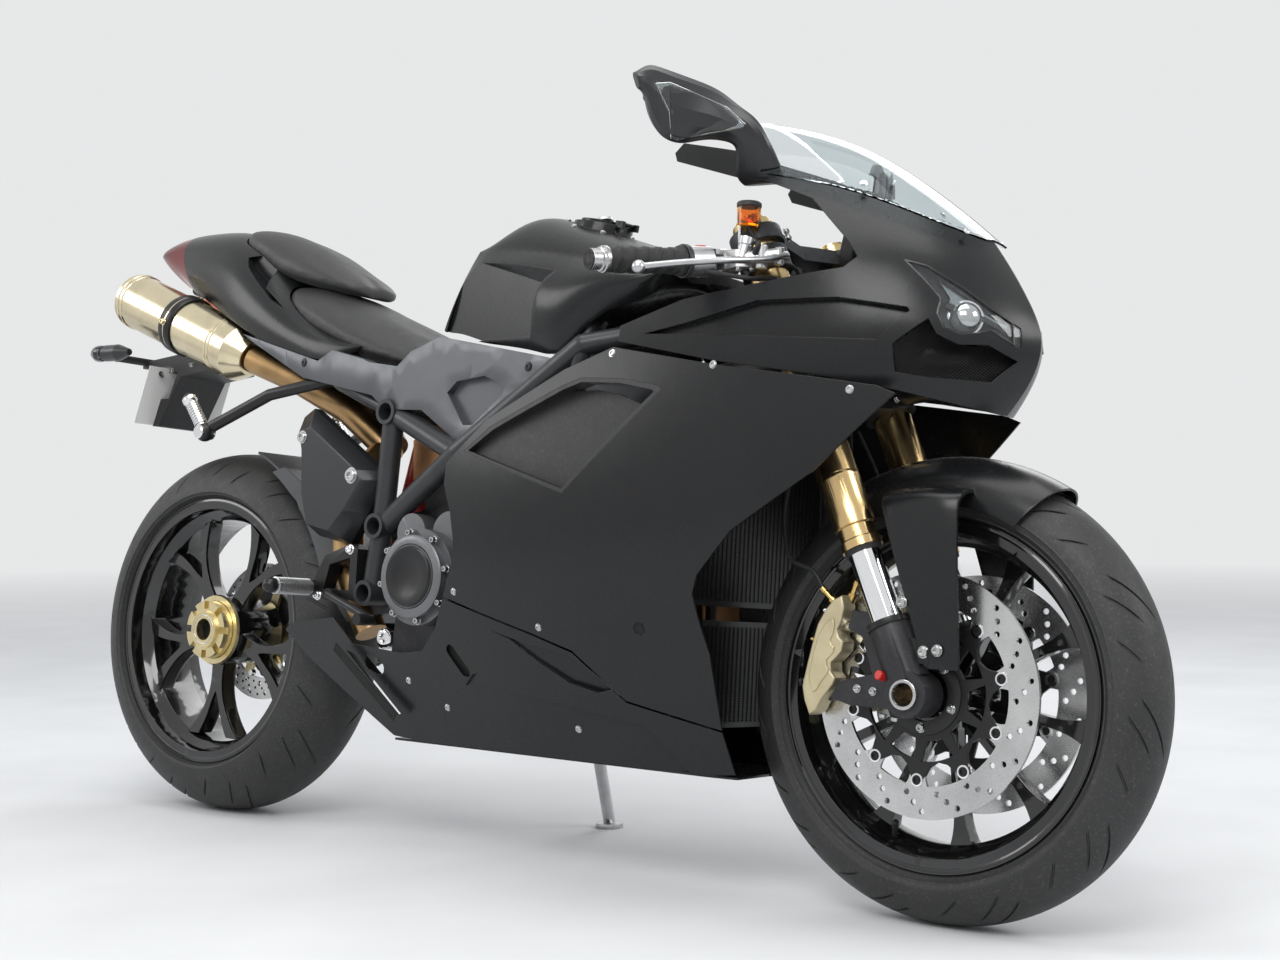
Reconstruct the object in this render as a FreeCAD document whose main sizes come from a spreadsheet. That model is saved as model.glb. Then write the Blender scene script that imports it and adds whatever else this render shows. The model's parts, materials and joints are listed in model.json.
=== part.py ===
# Faired sport bike leaning on its side stand, as one assembly of separate sub-parts.
# Lengths are in millimetres. The bike is first laid out upright: X forward from the
# rear axle, Y to the bike's left, Z up from the ground. Each sub-part's Placement then
# leans it onto the side stand and moves the origin to the middle of the footprint.
import FreeCAD, Part
import math
import os
import Sketcher
from FreeCAD import Placement, Rotation, Vector

OUT = "parts"
os.makedirs(OUT, exist_ok=True)
doc = FreeCAD.newDocument("SportBike")

SIZES = [
    ("wheelbase", 1430.0),
    ("rake_deg", 24.5),
    ("steer_offset", 36.0),
    ("lean_deg", 5.35),
    ("origin_x", 707.5),
    ("origin_y", 49.6),
    ("rear_radius", 315.0),
    ("rear_crown", 88.0),
    ("front_radius", 300.0),
    ("front_crown", 58.0),
    ("tyre_wall", 12.0),
    ("bead_radius", 219.0),
    ("lip_radius", 231.0),
    ("barrel_wall", 7.0),
    ("rear_rim_half", 76.0),
    ("front_rim_half", 50.5),
    ("rear_hub_radius", 58.0),
    ("front_hub_radius", 34.0),
    ("rear_bore_radius", 19.0),
    ("front_bore_radius", 15.0),
    ("front_disc_radius", 160.0),
    ("front_disc_inner", 118.0),
    ("front_disc_y", 71.0),
    ("rear_disc_radius", 122.5),
    ("rear_disc_inner", 84.0),
    ("disc_thick", 5.0),
    ("disc_hole_radius", 4.0),
    ("leg_spread", 105.0),
    ("inner_tube_radius", 21.5),
    ("outer_tube_radius", 28.0),
    ("clip_bar_radius", 11.0),
    ("frame_tube_radius", 17.0),
    ("pivot_x", 462.0),
    ("pivot_z", 393.0),
    ("panel_wall", 3.0),
    ("silencer_radius", 50.0),
    ("chain_pitch", 15.875),
    ("sprocket_teeth", 39.0),
    ("plate_width", 190.0),
    ("plate_height", 110.0),
    ("seat_depth", 45.0),
    ("cover_depth", 24.0),
]

sheet = doc.addObject("Spreadsheet::Sheet", "Sizes")
for row, (alias, value) in enumerate(SIZES, 1):
    sheet.set("A%d" % row, alias)
    sheet.set("B%d" % row, str(value))
    sheet.setAlias("B%d" % row, alias)
doc.recompute()


def size(alias):
    return float(sheet.get(alias))


WB = size("wheelbase")
RAKE = math.radians(size("rake_deg"))
RR = size("rear_radius")
RF = size("front_radius")
CR = size("rear_crown")
CF = size("front_crown")
LEAN = math.radians(size("lean_deg"))
UP = Vector(-math.sin(RAKE), 0, math.cos(RAKE))
FRONT_AXLE = Vector(WB, 0, RF)
REAR_AXLE = Vector(0, 0, RR)
SQUARE = Vector(math.cos(RAKE), 0, math.sin(RAKE))
LEG = size("leg_spread")

# The rest pose: lean about the tyre line, with the small pitch that lets both tyres touch.
DROP = (RR - CR) * math.cos(LEAN) + CR
FRONT_DROP = (RF - CF) * math.cos(LEAN) + CF
PITCH_ANGLE = math.asin((RF - RR - (FRONT_DROP - DROP) / math.cos(LEAN)) / WB)


def rest_placement():
    tip = Placement(Vector(0, 0, 0), Rotation(Vector(0, 1, 0), math.degrees(PITCH_ANGLE)))
    to_axle = Placement(Vector(0, 0, -RR), Rotation())
    lean = Placement(Vector(0, 0, 0), Rotation(Vector(1, 0, 0), -math.degrees(LEAN)))
    back = Placement(Vector(-size("origin_x"), -size("origin_y"), DROP), Rotation())
    return back.multiply(lean).multiply(tip).multiply(to_axle)


REST = rest_placement()
NODES = []


def keep(obj, name, local=None):
    obj.Label = name
    at = REST if local is None else REST.multiply(local)
    obj.Placement = at.multiply(obj.Placement)
    NODES.append((obj, name))
    return obj


def feature(name, shape):
    obj = doc.addObject("Part::Feature", name)
    obj.Shape = shape
    return keep(obj, name)


# Plain shapes by code
def box(x0, x1, y0, y1, z0, z1):
    return Part.makeBox(x1 - x0, y1 - y0, z1 - z0, Vector(x0, y0, z0))


def rod(a, b, radius, bore=0.0):
    a = Vector(*a)
    b = Vector(*b)
    solid = Part.makeCylinder(radius, (b - a).Length, a, b - a)
    if bore:
        solid = solid.cut(Part.makeCylinder(bore, (b - a).Length + 2, a - (b - a).normalize(), b - a))
    return solid


def cone(a, b, ra, rb):
    a = Vector(*a)
    b = Vector(*b)
    return Part.makeCone(ra, rb, (b - a).Length, a, b - a)


def ball(c, radius):
    return Part.makeSphere(radius, Vector(*c))


def run(points, radius):
    solid = rod(points[0], points[1], radius)
    for a, b in zip(points[1:-1], points[2:]):
        solid = solid.fuse(ball(a, radius)).fuse(rod(a, b, radius))
    return solid


def prism(outline, y0, y1):
    pts = [Vector(x, y0, z) for x, z in outline]
    face = Part.Face(Part.makePolygon(pts + [pts[0]]))
    return face.extrude(Vector(0, y1 - y0, 0))


def plan(outline, z0, z1):
    pts = [Vector(x, y, z0) for x, y in outline]
    face = Part.Face(Part.makePolygon(pts + [pts[0]]))
    return face.extrude(Vector(0, 0, z1 - z0))


def fuse(shapes):
    solid = shapes[0]
    for other in shapes[1:]:
        solid = solid.fuse(other)
    return solid.removeSplitter()


def mirrored(shape):
    return shape.mirror(Vector(0, 0, 0), Vector(0, 1, 0))


def along_fork(y, up, ahead=0.0):
    base = FRONT_AXLE + UP * up + SQUARE * ahead
    return Vector(base.x, y, base.z)


def by_axle(offsets):
    return [(WB + x, RF + z) for x, z in offsets]


# The outline of a slot with round ends, from point a to point b
def oblong(a, b, r):
    way = math.atan2(b[1] - a[1], b[0] - a[0])
    points = []
    for centre, start in ((a, way + math.pi / 2), (b, way - math.pi / 2)):
        for k in range(6):
            angle = start + k * math.pi / 5
            points.append((centre[0] + r * math.cos(angle), centre[1] + r * math.sin(angle)))
    return points


# A closed ring through half-section points (y, z), mirrored in Y, at station x.
def ring(x, half):
    right = [Vector(x, -y, z) for y, z in half]
    left = [Vector(x, y, z) for y, z in reversed(half) if y > 0.01]
    curve = Part.BSplineCurve()
    curve.interpolate(right + left, PeriodicFlag=True)
    return Part.Wire([curve.toShape()])


def loft(rings, ruled=False):
    return Part.makeLoft(rings, True, ruled)


def curve(points):
    if len(points) == 2:
        return Part.makeLine(*points)
    line = Part.BSplineCurve()
    line.interpolate(points)
    return line.toShape()


# A closed section with crisp shoulder and foot edges, in a plane that slants with height.
def creased_ring(x, lean, level, crown, side, foot):
    def line(points):
        return [Vector(x + lean * (z - level), y, z) for y, z in points]

    def opposite(points):
        return [(-y, z) for y, z in reversed(points)]

    over = opposite(crown[1:]) + crown
    flank = [crown[-1]] + side
    under = [side[-1]] + foot
    under = under + opposite(under)
    edges = [curve(line(part)) for part in (over, flank, under, opposite(flank))]
    return Part.Wire(edges)


# A thin panel between two smooth surfaces, each drawn by a grid of control points.
def clamped(count, degree):
    spans = count - degree
    return [degree + 1] + [1] * (spans - 1) + [degree + 1], [float(k) for k in range(spans + 1)]


def grid_face(rows):
    nu, nv = len(rows), len(rows[0])
    du, dv = min(3, nu - 1), min(3, nv - 1)
    mu, ku = clamped(nu, du)
    mv, kv = clamped(nv, dv)
    surface = Part.BSplineSurface()
    poles = [[Vector(*p) for p in row] for row in rows]
    surface.buildFromPolesMultsKnots(poles, mu, mv, ku, kv, False, False, du, dv)
    return surface


def closing_faces(outer, inner):
    faces = []
    for side in ("u0", "u1", "v0", "v1"):
        if side[0] == "u":
            k = outer.bounds()[0 if side[1] == "0" else 1]
            a, b = outer.uIso(k), inner.uIso(k)
        else:
            k = outer.bounds()[2 if side[1] == "0" else 3]
            a, b = outer.vIso(k), inner.vIso(k)
        faces.append(Part.makeRuledSurface(a.toShape(), b.toShape()))
    return faces


def shell_solid(outer_rows, inner_rows):
    outer = grid_face(outer_rows)
    inner = grid_face(inner_rows)
    faces = [outer.toShape(), inner.toShape()] + closing_faces(outer, inner)
    shell = Part.makeShell(faces)
    shell.sewShape()
    solid = Part.makeSolid(shell)
    if solid.Volume < 0:
        solid.reverse()
    return solid


# Bound primitives
def prim(kind, name, at=None, **bound):
    obj = doc.addObject("Part::" + kind, name)
    for prop, text in bound.items():
        obj.setExpression(prop, text)
    if at is not None:
        obj.Placement = at
    return obj


ACROSS = Rotation(Vector(1, 0, 0), 90)


# Wheels
def tyre_section(radius, crown, half):
    wall = size("tyre_wall")
    mid = radius - crown
    bead = size("bead_radius")
    seat = half - 6.2
    air = crown - wall

    def side(r, degrees):
        angle = math.radians(degrees)
        return Vector(mid + r * math.cos(angle), r * math.sin(angle), 0)

    tread = [side(crown, d) for d in (-80, -52, -26, -5.35, 5.35, 26, 52, 80)]
    foot = [Vector(bead + 12.5, seat, 0), Vector(bead, seat, 0), Vector(bead, seat - 11, 0)]
    cavity = [side(air, d) for d in (80, 36, 0, -36, -80)]
    other = [Vector(p.x, -p.y, 0) for p in reversed(foot)]
    points = tread + foot + cavity + other
    return Part.Face(Part.makePolygon(points + [points[0]]))


def tyre(name, radius, crown, half, centre):
    section = tyre_section(size(radius), size(crown), size(half))
    return wheel_part(name, section.revolve(Vector(0, 0, 0), Vector(0, 1, 0), 360), centre)


def rim_profile(half, wall):
    bead = size("bead_radius")
    lip = size("lip_radius")
    well = bead - 24
    top = [(half, lip), (half - 5, lip), (half - 6, bead), (half - 22, bead), (half - 34, well + wall),
           (0, well + wall)]
    low = [(0, well), (half - 38, well), (half - 24, bead - wall), (half, bead - wall)]
    pts = top + low
    right = [(-y, r) for y, r in reversed(top[:-1])]
    left_low = [(-y, r) for y, r in reversed(low[1:])]
    return pts[:6] + right + left_low + [(0, well)] + low[1:]


def rim_barrel(half, wall):
    pts = [Vector(r, y, 0) for y, r in rim_profile(half, wall)]
    face = Part.Face(Part.makePolygon(pts + [pts[0]]))
    return face.revolve(Vector(0, 0, 0), Vector(0, 1, 0), 360)


def plate_in_wheel(points, y0, y1):
    pts = [Vector(r * math.cos(a), y0, r * math.sin(a)) for r, a in points]
    face = Part.Face(Part.makePolygon(pts + [pts[0]]))
    return face.extrude(Vector(0, y1 - y0, 0))


def spin(shape, degrees):
    copy = shape.copy()
    copy.rotate(Vector(0, 0, 0), Vector(0, 1, 0), degrees)
    return copy


def wheel_arm(a0, r0, w0, a1, r1, w1, y0, y1):
    a0 = math.radians(a0)
    a1 = math.radians(a1)
    p0 = Vector(r0 * math.cos(a0), 0, r0 * math.sin(a0))
    p1 = Vector(r1 * math.cos(a1), 0, r1 * math.sin(a1))
    side = (p1 - p0).normalize().cross(Vector(0, 1, 0))
    pts = [p0 + side * w0, p1 + side * w1, p1 - side * w1, p0 - side * w0]
    pts = [Vector(p.x, y0, p.z) for p in pts]
    face = Part.Face(Part.makePolygon(pts + [pts[0]]))
    return face.extrude(Vector(0, y1 - y0, 0))


def curved_arm(edge, y0, y1, window=()):
    def wheel_point(r, degrees, y):
        angle = math.radians(degrees)
        return Vector(r * math.cos(angle), y, r * math.sin(angle))

    def both_sides(line):
        right = curve([wheel_point(r, a, y0) for r, a in line])
        left = curve([wheel_point(r, -a, y0) for r, a in line])
        return right, left

    def closed(line):
        right, left = both_sides(line)
        ends = []
        for r, a in (line[0], line[-1]):
            if a:
                ends.append(Part.makeLine(wheel_point(r, a, y0), wheel_point(r, -a, y0)))
        return Part.Face(Part.Wire(Part.__sortEdges__([right, left] + ends)))

    face = closed(edge)
    if window:
        face = face.cut(closed(window))
    return face.extrude(Vector(0, y1 - y0, 0))


def rear_rim():
    half = size("rear_rim_half")
    wall = size("barrel_wall")
    well = size("bead_radius") - 24
    edge = [(42, 27), (62, 14), (90, 9), (120, 9.5), (155, 13.5), (well + 3, 20)]
    window = [(108, 0), (122, 3.4), (150, 6.6), (176, 9.6), (well + 12, 14)]
    arms = [spin(curved_arm(edge, -45, -15, window), 72 * k + 20) for k in range(5)]
    hub = rod((0, -56, 0), (0, 46, 0), size("rear_hub_radius"), size("rear_bore_radius") + 14)
    shape = fuse([rim_barrel(half, wall), hub] + arms)
    axle = rod((0, -120, 0), (0, 60, 0), size("rear_bore_radius") + 14)
    shape = shape.cut(axle)
    return wheel_part("rear_rim", shape, REAR_AXLE)


def front_rim():
    half = size("front_rim_half")
    wall = size("barrel_wall")
    well = size("bead_radius") - 24
    edge = [(30, 17), (50, 8.5), (90, 4), (130, 2.8), (165, 2.7), (well + 3, 5)]
    arms = [spin(curved_arm(edge, -13, 13), 36 * k + 10) for k in range(10)]
    hub = rod((0, -75, 0), (0, 75, 0), size("front_hub_radius"), 0)
    shape = fuse([rim_barrel(half, wall), hub] + arms)
    shape = shape.cut(rod((0, -80, 0), (0, 80, 0), size("front_bore_radius") + 4.3))
    return wheel_part("front_rim", shape, FRONT_AXLE)


def circle_sketch(body, name, radii, centre=(0.0, 0.0)):
    sketch = body.newObject("Sketcher::SketchObject", name)
    plane = [f for f in body.Origin.OriginFeatures if f.Role == "XZ_Plane"][0]
    sketch.AttachmentSupport = [(plane, "")]
    sketch.MapMode = "FlatFace"
    for index, alias in enumerate(radii):
        circle = Part.Circle(Vector(centre[0], centre[1], 0), Vector(0, 0, 1), size(alias))
        sketch.addGeometry(circle, False)
        if centre == (0.0, 0.0):
            sketch.addConstraint(Sketcher.Constraint("Coincident", index, 3, -1, 1))
        sketch.addConstraint(Sketcher.Constraint("Radius", index, size(alias)))
        sketch.setExpression("Constraints[%d]" % (sketch.ConstraintCount - 1), "Sizes." + alias)
    return sketch


def brake_disc(name, outer, inner, centre, holes, hole_at):
    body = doc.addObject("PartDesign::Body", name)
    pad = body.newObject("PartDesign::Pad", name + "_plate")
    pad.Profile = circle_sketch(body, name + "_ring", [outer, inner])
    pad.Midplane = True
    pad.setExpression("Length", "Sizes.disc_thick")
    doc.recompute()
    last = pad
    for index, (radius, turn) in enumerate(hole_at):
        spot = (radius * math.cos(turn), radius * math.sin(turn))
        pocket = body.newObject("PartDesign::Pocket", "%s_hole%d" % (name, index))
        pocket.Profile = circle_sketch(body, "%s_spot%d" % (name, index), ["disc_hole_radius"], spot)
        pocket.Type = 1
        pocket.Midplane = True
        pattern = body.newObject("PartDesign::PolarPattern", "%s_holes%d" % (name, index))
        pattern.Originals = [pocket]
        axis = [f for f in body.Origin.OriginFeatures if f.Role == "Y_Axis"][0]
        pattern.Axis = (axis, [""])
        pattern.Occurrences = holes
        pattern.Angle = 360
        last = pattern
        body.Tip = pattern
        doc.recompute()
    body.Tip = last
    return keep(body, name, Placement(centre, Rotation()))


def disc_carrier(inner_radius, hub_radius, arms, y):
    thick = 6.0
    parts = [rod((0, y - thick / 2, 0), (0, y + thick / 2, 0), hub_radius + 14, hub_radius)]
    for k in range(arms):
        arm = wheel_arm(0, hub_radius + 8, 11, 6, inner_radius, 8, y - thick / 2, y + thick / 2)
        parts.append(spin(arm, 360.0 / arms * k))
    shape = fuse(parts)
    return shape.common(rod((0, y - 20, 0), (0, y + 20, 0), inner_radius))


def wheel_part(name, shape, centre):
    obj = doc.addObject("Part::Feature", name)
    obj.Shape = shape
    return keep(obj, name, Placement(centre, Rotation()))


tyre("rear_tyre", "rear_radius", "rear_crown", "rear_rim_half", REAR_AXLE)
tyre("front_tyre", "front_radius", "front_crown", "front_rim_half", FRONT_AXLE)
rear_rim()
front_rim()
FRONT_SPOTS = [(128, 0.0), (139, 0.09), (150, 0.18)]
REAR_SPOTS = [(95, 0.0), (110, 0.13)]
DISC_Y = size("front_disc_y")
for tag, side in (("right", -1), ("left", 1)):
    spot = Vector(FRONT_AXLE.x, side * DISC_Y, FRONT_AXLE.z)
    brake_disc("front_disc_" + tag, "front_disc_radius", "front_disc_inner", spot, 18, FRONT_SPOTS)
carriers = [disc_carrier(size("front_disc_inner"), size("front_hub_radius"), 10, y) for y in (-DISC_Y,
                                                                                              DISC_Y)]
wheel_part("disc_carriers", Part.makeCompound(carriers), FRONT_AXLE)
brake_disc("rear_disc", "rear_disc_radius", "rear_disc_inner", Vector(0, 54, RR), 16, REAR_SPOTS)


# Rear hub, sprocket, chain
def gear(teeth, pitch, bore, y0, y1):
    radius = pitch / 2 / math.sin(math.pi / teeth)
    pts = []
    for k in range(int(teeth) * 4):
        a = 2 * math.pi * k / (teeth * 4)
        r = radius + (4.0 if k % 4 in (0, 1) else -4.5)
        pts.append((r, a))
    return plate_in_wheel(pts, y0, y1).cut(rod((0, y0 - 5, 0), (0, y1 + 5, 0), bore)), radius


PITCH = size("chain_pitch")
sprocket_shape, BIG = gear(size("sprocket_teeth"), PITCH, 30.0, 118, 124)
for k in range(5):
    a = 2 * math.pi * k / 5
    hole = rod((66 * math.cos(a), 110, 66 * math.sin(a)), (66 * math.cos(a), 130, 66 * math.sin(a)), 17)
    sprocket_shape = sprocket_shape.cut(hole)
wheel_part("rear_sprocket", sprocket_shape, REAR_AXLE)
SMALL_AT = Vector(560, 0, 405)
small_shape, SMALL = gear(15, PITCH, 12.0, 115.6, 126.4)
small_shape.translate(SMALL_AT)


def hub_parts():
    axle = rod((0, -84, 0), (0, 140, 0), size("rear_bore_radius") + 13.7, size("rear_bore_radius"))
    axle = axle.cut(rod((0, 60, 0), (0, 140, 0), 60)).fuse(
        rod((0, 60, 0), (0, 138, 0), 29.7, size("rear_bore_radius")))
    nut = rod((0, -80, 0), (0, -56, 0), 50, size("rear_bore_radius") + 13.7)
    for k in range(8):
        a = 2 * math.pi * k / 8
        slot = box(36, 60, -82, -70, -6, 6)
        slot = spin(slot, math.degrees(a))
        nut = nut.cut(slot)
    return axle.removeSplitter(), nut


axle_shape, nut_shape = hub_parts()
outer_nut = rod((0, 124, 0), (0, 136, 0), 42, 29.7)
rear_carrier = disc_carrier(size("rear_disc_inner"), 32.7, 6, 54)
wheel_part("rear_hub", fuse([axle_shape, nut_shape, outer_nut, rear_carrier]), REAR_AXLE)


# The chain runs as separate links on the tangent lines and round both sprockets.
def chain_path(step):
    a = REAR_AXLE
    b = SMALL_AT
    gap = b - a
    length = math.hypot(gap.x, gap.z)
    base = math.atan2(gap.z, gap.x)
    turn = math.acos((BIG - SMALL) / length)
    top = base + turn
    low = base - turn

    def at(c, r, ang):
        return (c.x + r * math.cos(ang), c.z + r * math.sin(ang))

    pts = []
    n = 24
    for k in range(n + 1):
        ang = top + (low + 2 * math.pi - top) * k / n
        pts.append(at(a, BIG, ang))
    for k in range(13):
        ang = low + (top - low) * k / 12
        pts.append(at(b, SMALL, ang))
    pts.append(pts[0])
    total = sum(math.dist(p, q) for p, q in zip(pts, pts[1:]))
    count = 2 * int(round(total / step / 2))
    step = total / count
    out = []
    seg = 0
    done = 0.0
    for k in range(count):
        want = k * step
        while done + math.dist(pts[seg], pts[seg + 1]) < want:
            done += math.dist(pts[seg], pts[seg + 1])
            seg += 1
        t = (want - done) / math.dist(pts[seg], pts[seg + 1])
        p, q = pts[seg], pts[seg + 1]
        out.append((p[0] + (q[0] - p[0]) * t, p[1] + (q[1] - p[1]) * t))
    return out


def chain_band(spots, y0, y1, shift):
    outer = []
    inner = []
    count = len(spots)
    for k, p in enumerate(spots):
        a = spots[k - 1]
        b = spots[(k + 1) % count]
        length = math.dist(a, b)
        nx, nz = (b[1] - a[1]) / length, -(b[0] - a[0]) / length
        half = 5.6 if (k + shift) % 2 else 4.2
        outer.append(Vector(p[0] + nx * half, y0, p[1] + nz * half))
        inner.append(Vector(p[0] - nx * half, y0, p[1] - nz * half))
    wires = [Part.makePolygon(line + [line[0]]) for line in (outer, inner)]
    faces = [Part.Face(w) for w in wires]
    faces.sort(key=lambda f: f.Area)
    return faces[1].cut(faces[0]).extrude(Vector(0, y1 - y0, 0))


def chain():
    spots = chain_path(PITCH)
    bands = [chain_band(spots, 111.6, 115.4, 0), chain_band(spots, 126.6, 130.4, 1)]
    bars = []
    for k, p in enumerate(spots):
        if k % 2 == 0 and 90 < p[0] < SMALL_AT.x - 60:
            bars.append(box(p[0] - 2.5, p[0] + 2.5, 113, 129, p[1] - 2.5, p[1] + 2.5))
    return bands[0].multiFuse([bands[1]] + bars).removeSplitter()


feature("chain_drive", Part.makeCompound([chain(), small_shape]))


# Steering
def fork():
    inner_r = size("inner_tube_radius")
    outer_r = size("outer_tube_radius")
    outers = []
    inners = []
    feet = []
    for side in (-1, 1):
        y = side * LEG
        outer = fuse([rod(along_fork(y, 205), along_fork(y, 250), outer_r - 4),
                      rod(along_fork(y, 250), along_fork(y, 690), outer_r)])
        outer = outer.cut(rod(along_fork(y, 195), along_fork(y, 640), inner_r))
        outers.append(outer)
        inners.append(rod(along_fork(y, 60), along_fork(y, 620), inner_r))
        foot = fuse([
            rod(along_fork(y, 18), along_fork(y, 95), outer_r),
            rod((WB, y - 24, RF), (WB, y + 24, RF), 30),
            caliper_arms(y),
        ])
        foot = foot.cut(rod(along_fork(y, 60), along_fork(y, 120), inner_r))
        foot = foot.cut(rod((WB, y - 50, RF), (WB, y + 50, RF), 19.3))
        feet.append(foot)
    feature("fork_outer_tubes", Part.makeCompound(outers))
    feature("fork_inner_tubes", Part.makeCompound(inners))
    feature("fork_feet", Part.makeCompound(feet))


def caliper_arms(y):
    side = 1 if y > 0 else -1
    flat = by_axle([(-5, 20), (-10, -22), (-95, -20), (-124, -12), (-112, 10), (-62, 22), (-80, 70),
                    (-102, 80),
                    (-96, 104), (-64, 100), (-30, 72)])
    return prism(flat, min(y, y - side * 22), max(y, y - side * 22))


def calipers():
    bodies = []
    for side in (-1, 1):
        flat = by_axle([(-160, -22), (-112, -10), (-96, 30), (-90, 80), (-85, 112), (-108, 118), (-148, 100),
                        (-172, 30)])
        y_out = side * 112
        y_in = side * 50
        body = prism(flat, min(y_in, y_out), max(y_in, y_out))
        body = body.cut(rod((WB, side * 66, RF), (WB, side * 76, RF), size("front_disc_radius") + 3))
        body = body.cut(caliper_arms(side * LEG))
        bodies.append(body)
    feature("front_calipers", Part.makeCompound(bodies))


def clamps():
    lower = along_fork(0, 420, -18)
    upper = along_fork(0, 655, -18)
    outer_r = size("outer_tube_radius")
    parts = []
    for base, thick in ((lower, 34), (upper, 24)):
        web = [Vector(0, -LEG, 0), Vector(-34, -40, 0), Vector(-62, 0, 0), Vector(-34, 40, 0),
               Vector(0, LEG, 0),
               Vector(26, LEG - 8, 0), Vector(8, 0, 0), Vector(26, -LEG + 8, 0)]
        web = [Vector(v.x + 18, v.y, 0) for v in web]
        face = Part.Face(Part.makePolygon(web + [web[0]]))
        slab = face.extrude(Vector(0, 0, thick))
        for side in (-1, 1):
            slab = slab.fuse(Part.makeCylinder(outer_r + 9, thick, Vector(18, side * LEG, 0)))
        slab.rotate(Vector(0, 0, 0), Vector(0, 1, 0), -size("rake_deg"))
        slab.translate(base)
        parts.append(slab)
    stem_low = along_fork(0, 421, -size("steer_offset"))
    stem_top = along_fork(0, 672, -size("steer_offset"))
    stem = rod(stem_low, stem_top, 19.6)
    solid = fuse(parts + [stem])
    for side in (-1, 1):
        solid = solid.cut(rod(along_fork(side * LEG, 380), along_fork(side * LEG, 720), outer_r))
    feature("triple_clamps", solid)


def bar_line(side):
    a = along_fork(side * LEG, 630)
    start = Vector(a.x, side * (LEG + 20), a.z)
    end = Vector(WB - 352, side * 345, RF + 546)
    return start, end


def bars():
    clips = []
    grips = []
    for side in (-1, 1):
        start, end = bar_line(side)
        way = (end - start).normalize()
        outer_r = size("outer_tube_radius")
        clamp = rod(along_fork(side * LEG, 614), along_fork(side * LEG, 646), outer_r + 8)
        bar = rod(start, end, size("clip_bar_radius"))
        clip = clamp.fuse(bar).cut(rod(along_fork(side * LEG, 560), along_fork(side * LEG, 700), outer_r))
        clip = clip.fuse(rod(end, end + way * 24, 14))
        clips.append(clip.removeSplitter())
        g0 = end - way * 118
        g1 = end - way * 2
        grips.append(rod(g0, g1, 17, size("clip_bar_radius")))
    feature("clip_on_bars", Part.makeCompound(clips))
    feature("grips", Part.makeCompound(grips))


def controls():
    boxes = []
    levers = []
    for side in (-1, 1):
        start, end = bar_line(side)
        way = (end - start).normalize()
        length = (end - start).Length
        bore = size("clip_bar_radius")
        switch = rod(start + way * (length - 160), start + way * (length - 122), 21, bore)
        mid = start + way * 50
        root = mid + Vector(62, 0, 4) - way * 26
        arm = rod(mid + Vector(10, 0, 0), mid + Vector(30, 0, 2), 9)
        link = rod(mid + Vector(20, 0, 2), root, 11)
        pump = fuse([rod(mid - way * 14, mid + way * 14, 18), arm, link])
        pump = pump.cut(rod(start, end, bore))
        boxes += [switch, pump]
        tip = end + Vector(58, 0, -14)
        middle = Vector((root.x + tip.x) / 2 + 22, (root.y + tip.y) / 2, (root.z + tip.z) / 2)
        levers.append(fuse([run([root, middle, tip], 6), ball(tip, 9)]).cut(pump))
    feature("bar_controls", Part.makeCompound(boxes))
    feature("levers", Part.makeCompound(levers))


def front_axle():
    shape = rod((WB, -132, RF), (WB, 132, RF), 19.0, size("front_bore_radius"))
    feature("front_axle", shape)


# The guard's flank: it flares out from the band over the fork leg and wraps in at its front edge
def fork_shield(side):
    rows = []
    for x, inward in ((-62, 0), (-20, 0), (22, 0), (50, 4), (68, 16)):
        level = 272 - x * x / 540
        line = [(58, level), (84, level - 1), (112 - inward, level - 6), (118 - inward, level - 36),
                (119 - inward, 170),
                (117 - inward, 110), (116 - inward, 60), (116 - inward, 28)]
        rows.append((x, line))
    outer = [[(WB + x, side * y, RF + z) for y, z in line] for x, line in rows]
    inner = [[(WB + x, side * (y - 4), RF + z - 4 * (z > 200)) for y, z in line] for x, line in rows]
    solid = shell_solid(outer, inner)
    flat = by_axle([(-56, 290), (48, 290), (54, 256), (53, 244), (57, 150), (62, 34), (20, 34), (10, 60),
                    (-14, 130),
                    (-38, 200), (-55, 250)])
    y0, y1 = sorted((side * 40, side * 130))
    return solid.common(prism(flat, y0, y1))


def mudguard():
    r1 = RF + 15
    outer = Part.makeTorus(r1 - 66, 66, FRONT_AXLE, Vector(0, 1, 0))
    inner = Part.makeTorus(r1 - 66, 63, FRONT_AXLE, Vector(0, 1, 0))
    fan = by_axle([(10, 100), (250, 380), (-176, 380), (-60, 100)])
    band = outer.cut(inner).common(prism(fan, -80, 80))
    parts = [band.cut(rod((WB, -90, RF), (WB, 90, RF), RF - 54))]
    for side in (-1, 1):
        y0, y1 = sorted((side * 100, side * 115))
        foot_pad = box(WB - 10, WB + 26, y0, y1, RF + 40, RF + 72)
        parts += [fork_shield(side).cut(inner.fuse(rod((WB, -60, RF), (WB, 60, RF), RF - 40))), foot_pad]
    solid = fuse(parts)
    for side in (-1, 1):
        solid = solid.cut(rod(along_fork(side * LEG, -60), along_fork(side * LEG, 700),
                              size("outer_tube_radius")))
        y0, y1 = sorted((side * 80, side * 130))
        solid = solid.cut(rod((WB, y0, RF), (WB, y1, RF), 30))
    return max(solid.Solids, key=lambda s: s.Volume)


fork()
calipers()
clamps()
bars()
controls()
front_axle()
feature("front_mudguard", mudguard())


# Chassis: frame, engine and swingarm
TUBE = size("frame_tube_radius")
NODE_A = (488, -130, 680)
NODE_B = (477, -130, 499)
NODE_C = (size("pivot_x"), -130, size("pivot_z"))
HEAD_LOW = along_fork(0, 462, -size("steer_offset"))
HEAD_TOP = along_fork(0, 648, -size("steer_offset"))


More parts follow.
